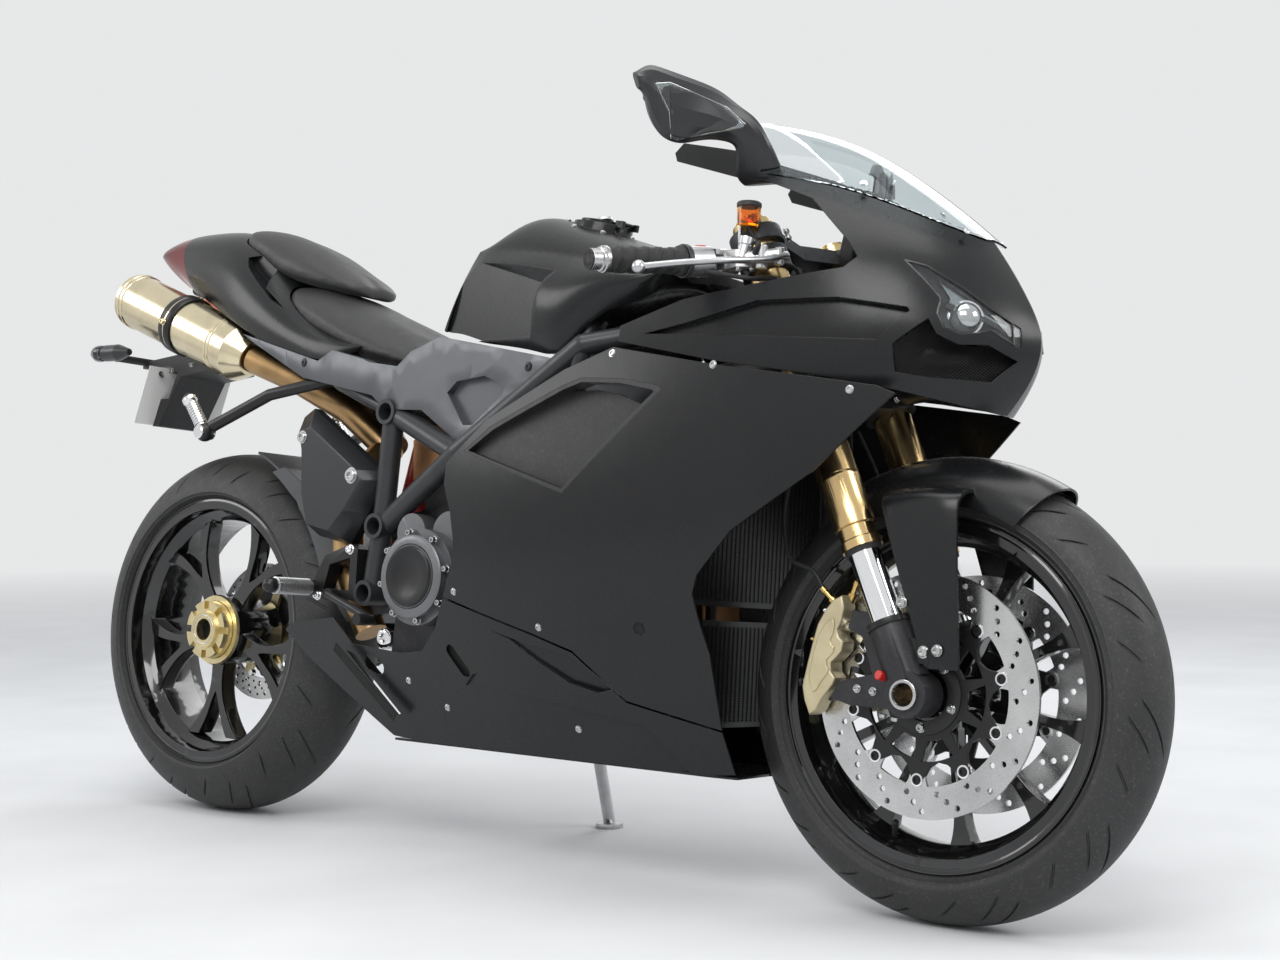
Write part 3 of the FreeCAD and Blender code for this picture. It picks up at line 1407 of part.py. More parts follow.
def screen_rows(drop):
    rows = []
    for line in SCREEN:
        half = [(x - drop * 0.4, -(y - drop * 0.6 if y else 0), z - drop * 0.8) for x, y, z in line]
        rows.append(half + [(x, -y, z) for x, y, z in reversed(half[:-1])])
    return rows


SCREEN_SOLID = shell_solid(screen_rows(0.0), screen_rows(3.0)).cut(NOSE_SOLID)
SCREEN_SOLID = max(SCREEN_SOLID.Solids, key=lambda s: s.Volume)
feature("windscreen", SCREEN_SOLID)


def nose_carrier():
    stalk = run([(1150, 0, 840), (1290, 0, 846), (1400, 0, 830)], 12)
    shelf = plan([(1330, -70), (1400, -92), (1440, -60), (1440, 60), (1400, 92), (1330, 70)], 842, 848)
    lamp_box = box(1380, 1440, -60, 60, 780, 842)
    dash = box(1300, 1322, -72, 72, 846, 930)
    wings = [run([(1390, side * 50, 846), (1335, side * 96, 925), (1224, side * 130, 984)],
                 7) for side in (-1, 1)]
    sides = [run([(1400, side * 60, 845), (1390, side * 170, 820)], 6) for side in (-1, 1)]
    chin = run([(1410, 0, 790), (1500, 0, 700), (1530, 0, 690)], 8)
    solid = fuse([stalk, shelf, lamp_box, dash, chin] + wings + sides)
    solid = solid.cut(FRAME).cut(NOSE_SOLID).cut(SCREEN_SOLID)
    for lens in LENSES:
        solid = solid.cut(lens)
    for side in (-1, 1):
        solid = solid.cut(rod(along_fork(side * LEG, 400), along_fork(side * LEG, 720), 45))
    return max(solid.Solids, key=lambda s: s.Volume)


CARRIER_NOSE = nose_carrier()
feature("nose_carrier", CARRIER_NOSE)


# Each station of a mirror: its upper and lower edge, its bulge ahead and behind, and how far it has turned
MIRROR = [
    ((1218, 118, 982), (1150, 136, 980), 6, 5, 0.0),
    ((1214, 130, 990), (1147, 150, 989), 6, 5, 0.0),
    ((1208, 140, 1007), (1158, 170, 1006), 7, 6, 0.1),
    ((1201, 156, 1035), (1166, 188, 1022), 9, 7, 0.3),
    ((1189, 172, 1061), (1160, 204, 1026), 13, 9, 0.6),
    ((1176, 190, 1074), (1152, 221, 1025), 17, 11, 0.8),
    ((1158, 215, 1092), (1140, 240, 1020), 21, 13, 1.0),
    ((1135, 249, 1104), (1127, 262, 1014), 24, 13, 1.0),
    ((1111, 283, 1113), (1108, 286, 1028), 22, 13, 1.0),
    ((1098, 304, 1112), (1100, 298, 1058), 16, 11, 1.0),
    ((1089, 318, 1101), (1094, 312, 1080), 8, 6, 1.0),
]


def mirror(side):
    rings = []
    for upper, lower, front, back, turned in MIRROR:
        top = Vector(upper[0], side * upper[1], upper[2])
        low = Vector(lower[0], side * lower[1], lower[2])
        down = low - top
        ahead = Vector(0.28 + 0.55 * turned, side * (0.96 - 0.4 * turned), 0)
        way = Vector(down).normalize()
        ahead = (ahead - way * ahead.dot(way)).normalize()
        points = [top + down * t + ahead * n for t, n in (
            (0.0, 0.0), (0.04, 0.4 * front), (0.14, 0.75 * front), (0.32, 0.95 * front), (0.55, front),
            (0.78, 0.86 * front), (0.94, 0.5 * front), (1.0, 0.0), (0.94, -0.7 * back), (0.76, -back),
            (0.24, -back), (0.05, -0.7 * back))]
        rings.append(Part.makePolygon(points + [points[0]]))
    solid = loft(rings)
    for other in (NOSE_SOLID, SCREEN_SOLID, CARRIER_NOSE):
        solid = solid.cut(other)
    return max(solid.Solids, key=lambda s: s.Volume)


feature("mirrors", Part.makeCompound([mirror(-1), mirror(1)]))


# Cooling and stays
def radiator():
    core = box(1072, 1108, -165, 165, 400, 640)
    return core.cut(FRAME)


RADIATOR = radiator()
COOLER = box(1060, 1096, -110, 110, 230, 380).cut(FRAME)
feature("radiator", Part.makeCompound([RADIATOR, COOLER]))


# The half length of a cross rod that ends just inside both panels.
def inside_reach(panel_shape, x, z, radius):
    found = []
    for dx, dz in ((0, 0), (radius, 0), (-radius, 0), (0, radius), (0, -radius)):
        line = Part.makeLine(Vector(x + dx, -20, z + dz), Vector(x + dx, -320, z + dz))
        hit = line.common(panel_shape)
        found += [abs(v.Y) for v in hit.Vertexes]
    return min(found) - 0.2


def stay_node():
    side_panel = PANELS["side_fairing_right"]
    cross = []
    for x, z, panel_shape in ((1090, 660, side_panel), (760, 470, side_panel), (960, 470, side_panel),
                              (1120, 700, side_panel), (820, 250, BELLY), (1030, 236, BELLY)):
        half = inside_reach(panel_shape, x, z, 7)
        cross.append(rod((x, -half, z), (x, half, z), 7))
    links = [
        rod((1030, 0, 236), (1030, 0, 640), 8),
        rod((1062, 0, 300), (1030, 0, 300), 8),
        rod((1074, 0, 600), (1030, 0, 580), 8),
        rod((1030, 0, 636), (1090, 0, 660), 8),
        rod((820, 0, 250), (1030, 0, 236), 8),
        rod((820, 0, 470), (1030, 0, 470), 8),
        rod((1090, -24, 660), (1120, -24, 700), 8),
        rod((1090, 24, 660), (1120, 24, 700), 8),
    ]
    solid = fuse(cross + links)
    for other in (FRAME, ENGINE, RADIATOR, COOLER):
        solid = solid.cut(other)
    for side in (-1, 1):
        solid = solid.cut(rod(along_fork(side * LEG, 300), along_fork(side * LEG, 720), 40))
    pieces = [s for s in solid.Solids if s.Volume > 300]
    feature("fairing_stays", Part.makeCompound(pieces))


# Side stand
WORLD_UP = Vector(0, -math.sin(LEAN), math.cos(LEAN))
STAND_PIVOT = Vector(700, 142, 222)
FOOT_X = 655.0
FOOT_Y = 262.0
STOWED = Vector(-0.97, 0.12, -0.2).normalize()


def floor_height(x, y):
    level = RR + (y * math.sin(LEAN) - DROP) / math.cos(LEAN)
    return level + x * math.tan(PITCH_ANGLE)


def stand():
    foot = Vector(FOOT_X, FOOT_Y, floor_height(FOOT_X, FOOT_Y))
    way = (foot - STAND_PIVOT).normalize()
    axis = way.cross(STOWED).normalize()
    boss = Part.makeCylinder(16, 22, STAND_PIVOT - axis * 11, axis)
    top = foot + WORLD_UP * 8
    leg = rod(STAND_PIVOT, top, 10)
    pad = Part.makeCylinder(23, 8, foot, WORLD_UP)
    solid = fuse([boss, leg, pad])
    below = Part.makeCylinder(60, 30, foot, WORLD_UP * -1)
    feature("side_stand", solid.cut(below))
    lug = Part.makeCylinder(20, 20, STAND_PIVOT - axis * 31.3, axis)
    arm = box(676, 724, 60, 128, 216, 256)
    bracket = fuse([lug, arm])
    keep_out = Part.makeCylinder(24, 24, STAND_PIVOT - axis * 11.3, axis)
    bracket = bracket.cut(keep_out).cut(ENGINE)
    return max(bracket.Solids, key=lambda s: s.Volume)


stay_node()
feature("stand_bracket", stand())

doc.recompute()
bad = []
for obj, name in NODES:
    if "Invalid" in obj.State or "Error" in obj.State:
        bad.append("%s state %s" % (name, obj.State))
    elif obj.Shape.isNull() or not obj.Shape.isValid() or obj.Shape.Volume <= 0:
        bad.append("%s shape" % name)
for obj in doc.Objects:
    if "Invalid" in obj.State or "Error" in obj.State:
        bad.append("%s state %s" % (obj.Name, obj.State))
if bad:
    raise RuntimeError("bad objects: " + "; ".join(bad))
for obj, name in NODES:
    obj.Shape.exportStep(os.path.join(OUT, name + ".step"))
print("wrote", len(NODES), "parts")
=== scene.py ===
import json
import math

import bpy
from mathutils import Matrix, Vector

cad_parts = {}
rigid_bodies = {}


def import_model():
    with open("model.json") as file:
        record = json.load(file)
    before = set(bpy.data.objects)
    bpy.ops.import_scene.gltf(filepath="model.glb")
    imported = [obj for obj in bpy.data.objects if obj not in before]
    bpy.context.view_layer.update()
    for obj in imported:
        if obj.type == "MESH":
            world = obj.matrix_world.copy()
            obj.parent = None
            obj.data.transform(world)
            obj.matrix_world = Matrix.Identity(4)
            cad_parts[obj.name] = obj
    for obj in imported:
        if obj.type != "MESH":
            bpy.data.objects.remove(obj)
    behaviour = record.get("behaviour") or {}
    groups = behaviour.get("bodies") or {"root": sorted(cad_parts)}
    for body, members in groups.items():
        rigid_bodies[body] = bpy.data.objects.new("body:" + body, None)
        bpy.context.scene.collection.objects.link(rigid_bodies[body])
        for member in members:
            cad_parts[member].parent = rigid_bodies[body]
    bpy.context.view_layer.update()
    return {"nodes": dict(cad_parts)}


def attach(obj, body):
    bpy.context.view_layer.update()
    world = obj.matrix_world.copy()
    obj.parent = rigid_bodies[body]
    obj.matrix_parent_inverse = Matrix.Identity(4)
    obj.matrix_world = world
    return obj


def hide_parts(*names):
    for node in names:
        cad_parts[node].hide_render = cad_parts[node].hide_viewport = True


for old in list(bpy.data.objects):
    bpy.data.objects.remove(old, do_unlink=True)

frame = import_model()
NODES = frame["nodes"]
MM = 0.001

# Places: the motorcycle is drawn upright in millimetres, rear axle over x = 0, front axle at x = 1430
LEAN = math.radians(5.35)
REAR_RADIUS, FRONT_RADIUS, REAR_CROWN, FRONT_CROWN, WHEELBASE = 315.0, 300.0, 88.0, 58.0, 1430.0
DROP = (REAR_RADIUS - REAR_CROWN) * math.cos(LEAN) + REAR_CROWN
FRONT_DROP = (FRONT_RADIUS - FRONT_CROWN) * math.cos(LEAN) + FRONT_CROWN
PITCH = math.asin((FRONT_RADIUS - REAR_RADIUS - (FRONT_DROP - DROP) / math.cos(LEAN)) / WHEELBASE)
ORIGIN = Vector((707.5, 49.6, 0.0))
REST = (Matrix.Translation(Vector((0, 0, DROP)) * MM - ORIGIN * MM)
        @ Matrix.Rotation(-LEAN, 4, "X") @ Matrix.Rotation(PITCH, 4, "Y")
        @ Matrix.Translation((0, 0, -REAR_RADIUS * MM)))
RAKE = math.radians(24.5)
FORK_UP = Vector((-math.sin(RAKE), 0, math.cos(RAKE)))
FORK_SQUARE = Vector((math.cos(RAKE), 0, math.sin(RAKE)))
FRONT_AXLE = Vector((1430, 0, 300))
REAR_AXLE = Vector((0, 0, 315))
LEG = 105.0

# Camera at the photograph's place
YAW, TIP, ROLL = math.radians(-37.947), math.radians(-0.425), math.radians(-0.353)
IMAGE_WIDTH, FOCAL_PIXELS, SENSOR = 1280, 1896.55, 36.0


def make_camera():
    ahead = Vector((math.cos(TIP) * math.sin(YAW), math.cos(TIP) * math.cos(YAW), math.sin(TIP)))
    right = Vector((math.cos(YAW), -math.sin(YAW), 0))
    up = right.cross(ahead)
    across = math.cos(ROLL) * right + math.sin(ROLL) * up
    top = -math.sin(ROLL) * right + math.cos(ROLL) * up
    data = bpy.data.cameras.new("camera")
    data.sensor_width = SENSOR
    data.lens = FOCAL_PIXELS / IMAGE_WIDTH * SENSOR
    camera = bpy.data.objects.new("camera", data)
    bpy.context.scene.collection.objects.link(camera)
    turn = Matrix((across, top, -ahead)).transposed().to_4x4()
    camera.matrix_world = Matrix.Translation((1.9373, -2.2791, 0.6032)) @ turn
    bpy.context.scene.camera = camera


make_camera()


# Materials
class Nodes:
    """A short way to build a material's node tree."""

    def __init__(self, name):
        self.material = bpy.data.materials.new(name)
        self.material.use_nodes = True
        self.tree = self.material.node_tree
        self.shader = self.tree.nodes["Principled BSDF"]
        coords = self.tree.nodes.new("ShaderNodeTexCoord")
        self.coords = coords.outputs["Object"]

    def add(self, kind, inputs=None, **settings):
        node = self.tree.nodes.new("ShaderNode" + kind)
        for key, value in settings.items():
            setattr(node, key, value)
        for key, value in (inputs or {}).items():
            if isinstance(value, bpy.types.NodeSocket):
                self.tree.links.new(value, node.inputs[key])
            else:
                node.inputs[key].default_value = value
        return node

    def link(self, socket, name):
        self.tree.links.new(socket, self.shader.inputs[name])

    def noise(self, scale, detail=3.0, coords=None):
        node = self.add("TexNoise", {"Vector": coords or self.coords, "Scale": scale, "Detail": detail})
        return node.outputs["Fac"]

    def spread(self, value, low, high, start=0.3, end=0.7):
        node = self.add("MapRange", {"Value": value, "From Min": start, "From Max": end,
                                     "To Min": low, "To Max": high})
        return node.outputs["Result"]

    def blend(self, factor, first, second):
        node = self.add("Mix", {"Factor": factor}, data_type="RGBA")
        for socket, value in ((node.inputs[6], first), (node.inputs[7], second)):
            if isinstance(value, bpy.types.NodeSocket):
                self.tree.links.new(value, socket)
            else:
                socket.default_value = (*value, 1)
        return node.outputs[2]

    def bump(self, height, strength, distance=0.0004, normal=None):
        inputs = {"Height": height, "Strength": strength, "Distance": distance}
        if normal is not None:
            inputs["Normal"] = normal
        return self.add("Bump", inputs).outputs["Normal"]

    def stretched(self, scale, location=(0, 0, 0), rotation=(0, 0, 0)):
        node = self.add("Mapping", {"Vector": self.coords, "Scale": scale, "Location": location,
                                    "Rotation": rotation})
        return node.outputs["Vector"]


FINISHES = {}


def finish(name, colour, rough, metal=0.0, mottle=(18, 0.12), grain=(900, 0.12), shine=0.05, coat=0.0,
           dust=0.0, sheen=0.0, edge=0.0, **sockets):
    """A surface with soft colour variation, uneven gloss and a fine grain."""
    nodes = Nodes(name)
    dark = [c * (1 - mottle[1]) for c in colour]
    light = [min(1, c * (1 + mottle[1])) for c in colour]
    broad = nodes.noise(mottle[0], 4)
    tone = nodes.blend(nodes.spread(broad, 0, 1), dark, light)
    if dust:
        specks = nodes.spread(nodes.noise(260, 6), 0, dust, 0.55, 0.75)
        tone = nodes.blend(specks, tone, (0.35, 0.33, 0.3))
    nodes.link(tone, "Base Color")
    nodes.link(nodes.spread(nodes.noise(mottle[0] * 5, 5), rough - shine, rough + shine), "Roughness")
    rounded = nodes.add("Bevel", {"Radius": edge * MM}, samples=4).outputs["Normal"] if edge else None
    nodes.link(nodes.bump(nodes.noise(grain[0], 2), grain[1], normal=rounded), "Normal")
    nodes.shader.inputs["Metallic"].default_value = metal
    nodes.shader.inputs["Coat Weight"].default_value = coat
    nodes.shader.inputs["Sheen Weight"].default_value = sheen
    for key, value in sockets.items():
        nodes.shader.inputs[key.replace("_", " ")].default_value = value
    FINISHES[name] = nodes.material
    return nodes


def brushed(name, colour, rough, stretch, scale=60, metal=1.0, strength=0.25):
    """Metal with fine lines along one direction."""
    nodes = finish(name, colour, rough, metal, grain=(900, 0.03))
    lines = nodes.noise(scale, 3, nodes.stretched(stretch))
    nodes.link(nodes.bump(lines, strength, 0.0002), "Normal")
    nodes.link(nodes.spread(lines, rough - 0.07, rough + 0.09), "Roughness")
    return nodes


def clear(name, colour, rough=0.02, index=1.45):
    nodes = Nodes(name)
    nodes.shader.inputs["Transmission Weight"].default_value = 1.0
    nodes.shader.inputs["IOR"].default_value = index
    nodes.shader.inputs["Base Color"].default_value = (*colour, 1)
    nodes.link(nodes.spread(nodes.noise(30, 3), rough, rough + 0.03), "Roughness")
    FINISHES[name] = nodes.material
    return nodes


def make_finishes():
    finish("matt_black", (0.0085, 0.0088, 0.0094), 0.27, mottle=(7, 0.1), grain=(1500, 0.02), shine=0.015,
           edge=1.6, Specular_IOR_Level=0.34)
    finish("satin_black", (0.010, 0.010, 0.0105), 0.32, grain=(700, 0.1), Specular_IOR_Level=0.36)
    finish("gloss_black", (0.0045, 0.0045, 0.005), 0.14, coat=0.6, grain=(90, 0.02), shine=0.03)
    finish("frame_paint", (0.034, 0.035, 0.037), 0.33, 0.2, grain=(500, 0.1), dust=0.02,
           Specular_IOR_Level=0.36)
    finish("dark_plastic", (0.016, 0.016, 0.017), 0.5, grain=(1100, 0.3), dust=0.05, edge=1.0)
    finish("grey_plastic", (0.05, 0.052, 0.056), 0.46, grain=(1100, 0.3), dust=0.04)
    finish("side_grey", (0.1, 0.104, 0.11), 0.36, 0.5, mottle=(9, 0.1), grain=(1300, 0.12), dust=0.03)
    finish("guard_black", (0.016, 0.0165, 0.018), 0.3, mottle=(9, 0.1), grain=(1300, 0.03), shine=0.02,
           edge=1.2)
    finish("rubber", (0.017, 0.017, 0.0175), 0.56, mottle=(14, 0.2), grain=(600, 0.3), dust=0.1)
    finish("grip_rubber", (0.009, 0.009, 0.009), 0.62, grain=(1500, 0.35))
    finish("seat_cover", (0.012, 0.012, 0.0125), 0.46, mottle=(11, 0.18), grain=(2600, 0.45), dust=0.03,
           sheen=0.08)
    finish("cast_dark", (0.028, 0.028, 0.03), 0.48, 0.5, mottle=(30, 0.2), grain=(420, 0.45), dust=0.06)
    finish("cast_grey", (0.13, 0.135, 0.142), 0.46, 0.7, mottle=(26, 0.15), grain=(420, 0.45), dust=0.05)
    finish("cover_grey", (0.15, 0.153, 0.158), 0.38, 0.6, grain=(500, 0.28))
    finish("bronze", (0.33, 0.165, 0.075), 0.42, 0.8, mottle=(22, 0.22), grain=(420, 0.4))
    finish("steel", (0.5, 0.5, 0.5), 0.26, 1.0, mottle=(40, 0.1), grain=(900, 0.1))
    finish("bright_steel", (0.78, 0.78, 0.79), 0.12, 1.0, mottle=(40, 0.06), grain=(900, 0.03))
    finish("chrome", (0.86, 0.87, 0.88), 0.045, 1.0, mottle=(40, 0.03), grain=(300, 0.01), shine=0.02)
    finish("aluminium", (0.52, 0.525, 0.53), 0.32, 1.0, mottle=(30, 0.1), grain=(700, 0.18))
    finish("caliper_gold", (0.54, 0.47, 0.3), 0.4, 0.7, mottle=(30, 0.1), grain=(700, 0.22))
    finish("fork_gold", (0.68, 0.49, 0.24), 0.22, 1.0, mottle=(16, 0.05), grain=(900, 0.02), shine=0.02)
    finish("pale_gold", (0.68, 0.58, 0.34), 0.3, 1.0, mottle=(24, 0.08), grain=(900, 0.08))
    finish("brass", (0.66, 0.45, 0.17), 0.27, 1.0, mottle=(50, 0.12), grain=(900, 0.1))
    finish("pipe_tint", (0.36, 0.23, 0.11), 0.33, 1.0, mottle=(11, 0.4), grain=(700, 0.15))
    finish("white_plate", (0.8, 0.8, 0.78), 0.35, mottle=(12, 0.03), grain=(500, 0.05))
    finish("shock_red", (0.3, 0.02, 0.02), 0.3, coat=0.4)
    finish("red_switch", (0.5, 0.015, 0.012), 0.35)
    finish("lamp_silver", (0.8, 0.81, 0.83), 0.1, 1.0, grain=(200, 0.02))
    finish("mesh_black", (0.012, 0.012, 0.012), 0.42, 0.5)
    finish("dial_black", (0.01, 0.011, 0.013), 0.1, coat=0.5, grain=(90, 0.02), shine=0.02)
    finish("dash_grey", (0.12, 0.14, 0.13), 0.22, grain=(90, 0.02), coat=0.3)
    finish("lamp_inner", (0.055, 0.064, 0.064), 0.32, grain=(200, 0.01))
    finish("lamp_grey", (0.3, 0.34, 0.34), 0.16, 0.9, grain=(200, 0.02))
    finish("lamp_glass", (0.42, 0.44, 0.44), 0.08, 0.7, grain=(200, 0.01), coat=0.6)
    # Painted shade: a near-black, flat finish put into holes, bores, slots and duct ends to stand for the shade inside
    # them
    finish("painted_shade_void", (0.003, 0.003, 0.003), 0.85, grain=(900, 0.1))
    finish("chain_steel", (0.2, 0.195, 0.185), 0.36, 1.0, mottle=(60, 0.25), grain=(900, 0.2))
    brushed("titanium", (0.74, 0.65, 0.45), 0.2, (9, 9, 9), 120, strength=0.03)
    brushed("disc_steel", (0.55, 0.55, 0.55), 0.24, (14, 14, 14), 90, strength=0.1)
    clear("screen", (0.8, 0.85, 0.86), 0.0, 1.12)
    clear("lens", (0.93, 0.95, 0.97))
    clear("amber", (0.95, 0.42, 0.05), 0.06)
    clear("smoke", (0.25, 0.26, 0.28), 0.05)
    clear("red_lens", (0.2, 0.004, 0.004), 0.05)


make_finishes()


# Building blocks: every point is in upright millimetres
class Form:
    """Points and faces that become one piece."""

    def __init__(self):
        self.points = []
        self.faces = []

    def add(self, points, faces):
        base = len(self.points)
        self.points += [Vector(p) for p in points]
        self.faces += [tuple(base + i for i in face) for face in faces]
        return self

    def grid(self, rows, around=False, along=False):
        high, wide = len(rows), len(rows[0])
        faces = []
        for i in range(high if along else high - 1):
            for j in range(wide if around else wide - 1):
                a, b = i, (i + 1) % high
                c, d = j, (j + 1) % wide
                faces.append((a * wide + c, a * wide + d, b * wide + d, b * wide + c))
        return self.add([p for row in rows for p in row], faces)

    def lathe(self, centre, axis, profile, sides=32, closed=False):
        """Turns a profile of (along, radius) pairs about an axis; open ends are capped."""
        centre, axis = Vector(centre), Vector(axis).normalized()
        side = axis.orthogonal().normalized()
        other = axis.cross(side)
        rows = []
        for along, radius in profile:
            ring = []
            for k in range(sides):
                angle = 2 * math.pi * k / sides
                out = side * math.cos(angle) + other * math.sin(angle)
                ring.append(centre + axis * along + out * radius)
            rows.append(ring)
        self.grid(rows, around=True, along=closed)
        if not closed:
            for ring, radius in ((rows[0][::-1], profile[0][1]), (rows[-1], profile[-1][1])):
                if radius > 0.05:
                    self.add(ring, [tuple(range(sides))])
        return self

    def tube(self, path, radius, sides=10, capped=True):
        """A round bar along a path; the radius may be one value or one for each point."""
        path = [Vector(p) for p in path]
        radii = radius if isinstance(radius, (list, tuple)) else [radius] * len(path)
        ways = []
        for k in range(len(path)):
            ways.append((path[min(k + 1, len(path) - 1)] - path[max(k - 1, 0)]).normalized())
        side = ways[0].orthogonal().normalized()
        rows = []
        for point, way, size in zip(path, ways, radii):
            side = (side - way * side.dot(way)).normalized()
            other = way.cross(side)
            rows.append([point + (side * math.cos(2 * math.pi * k / sides)
                                  + other * math.sin(2 * math.pi * k / sides)) * size for k in range(sides)])
        self.grid(rows, around=True)
        if capped:
            self.add(rows[0][::-1], [tuple(range(sides))])
            self.add(rows[-1], [tuple(range(sides))])
        return self

    def slab(self, outline, depth):
        """A flat or slightly curved outline of points, thickened along a vector."""
        front = [Vector(p) for p in outline]
        back = [p + Vector(depth) for p in front]
        n = len(front)
        faces = [tuple(range(n))[::-1], tuple(range(n, 2 * n))]
        faces += [(i, (i + 1) % n, n + (i + 1) % n, n + i) for i in range(n)]
        return self.add(front + back, faces)

    def box(self, centre, x, y, z):
        centre, x, y, z = (Vector(v) for v in (centre, x, y, z))
        points = [centre + x * a + y * b + z * c for a in (-1, 1) for b in (-1, 1) for c in (-1, 1)]
        faces = [(0, 1, 3, 2), (4, 6, 7, 5), (0, 4, 5, 1), (2, 3, 7, 6), (0, 2, 6, 4), (1, 5, 7, 3)]
        return self.add(points, faces)

    def plate(self, outlines, origin, right, up, thick, edge=0.6, steps=1):
        """A plate with holes: the first outline is its edge, in millimetres from the origin."""
        curve = bpy.data.curves.new("outline", "CURVE")
        curve.dimensions = "2D"
        curve.fill_mode = "BOTH"
        curve.extrude = (thick / 2 - edge) * MM
        curve.bevel_depth = edge * MM
        curve.bevel_resolution = steps
        curve.offset = -edge * MM
        for outline in outlines:
            spline = curve.splines.new("POLY")
            spline.points.add(len(outline) - 1)
            for point, (x, y) in zip(spline.points, outline):
                point.co = (x * MM, y * MM, 0, 1)
            spline.use_cyclic_u = True
        holder = bpy.data.objects.new("outline", curve)
        mesh = bpy.data.meshes.new_from_object(holder)
        right, up = Vector(right).normalized(), Vector(up).normalized()
        normal = right.cross(up)
        points = [Vector(origin) + (right * v.co.x + up * v.co.y + normal * v.co.z) / MM for v in mesh.vertices]
        self.add(points, [tuple(p.vertices) for p in mesh.polygons])
        bpy.data.meshes.remove(mesh)
        bpy.data.objects.remove(holder)
        bpy.data.curves.remove(curve)
        return self

    def bolt(self, place, way, radius=4.0, height=3.5, socket=True):
        """A round bolt head with its socket."""
        profile = [(0, radius * 1.25), (0.5, radius * 1.25), (0.5, radius), (height * 0.8, radius),
                   (height, radius * 0.85)]
        if socket:
            profile += [(height, radius * 0.52), (height * 0.4, radius * 0.48), (height * 0.4, 0.02)]
        return self.lathe(place, way, profile, 16)


def piece(name, body, form, material, angle=35, bevel=0.0, smooth=0):
    mesh = bpy.data.meshes.new(name)
    mesh.from_pydata([p * MM for p in form.points], [], form.faces)
    mesh.validate()
    mesh.shade_smooth()
    mesh.set_sharp_from_angle(angle=math.radians(angle))
    mesh.materials.append(FINISHES[material])
    obj = bpy.data.objects.new(name, mesh)
    obj.matrix_world = REST
    bpy.context.scene.collection.objects.link(obj)
    if bevel:
        soften(obj, bevel)
    if smooth:
        layer = obj.modifiers.new("smooth", "SUBSURF")
        layer.levels = layer.render_levels = smooth
    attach(obj, body)
    return obj


def soften(obj, width, angle=32, segments=2):
    layer = obj.modifiers.new("edges", "BEVEL")
    layer.width = width * MM
    layer.limit_method = "ANGLE"
    layer.angle_limit = math.radians(angle)
    layer.segments = segments
    layer.harden_normals = True


REST_BACK = REST.inverted()


def surface(node, x, z, side=-1, down=None):
    """Where a line from the side meets a node, and which way its surface faces there."""
    start = REST @ (Vector((x, side * 420, z)) * MM) if down is None else REST @ (Vector((x, down,
                                                                                          1400)) * MM)
    way = REST.to_3x3() @ (Vector((0, -side, 0)) if down is None else Vector((0, 0, -1)))
    hit, place, normal, _ = NODES[node].ray_cast(start, way)
    if not hit:
        return None
    normal = REST_BACK.to_3x3() @ normal
    if normal.dot(REST_BACK.to_3x3() @ way) > 0:
        normal.negate()
    return (REST_BACK @ place) / MM, normal.normalized()


def fork_point(y, up, ahead=0.0):
    base = FRONT_AXLE + FORK_UP * up + FORK_SQUARE * ahead
    return Vector((base.x, y, base.z))


def around(centre, radius, degrees, y=0.0):
    angle = math.radians(degrees)
    return Vector((centre.x + radius * math.cos(angle), y, centre.z + radius * math.sin(angle)))


def ease(t):
    t = min(1.0, max(0.0, t))
    return t * t * (3 - 2 * t)


def circle(x, y, radius, sides=16, start=0.0):
    return [(x + radius * math.cos(start + 2 * math.pi * k / sides),
             y + radius * math.sin(start + 2 * math.pi * k / sides)) for k in range(sides)]


def bent(points, steps=6):
    """A smooth path through the given points."""
    points = [Vector(p) for p in points]
    ends = [points[0] * 2 - points[1]] + points + [points[-1] * 2 - points[-2]]
    path = []
    for a, b, c, d in zip(ends, ends[1:], ends[2:], ends[3:]):
        for k in range(steps):
            t = k / steps
            path.append(0.5 * (2 * b + (c - a) * t + (2 * a - 5 * b + 4 * c - d) * t * t
                               + (3 * b - a - 3 * c + d) * t ** 3))
    return path + [points[-1]]


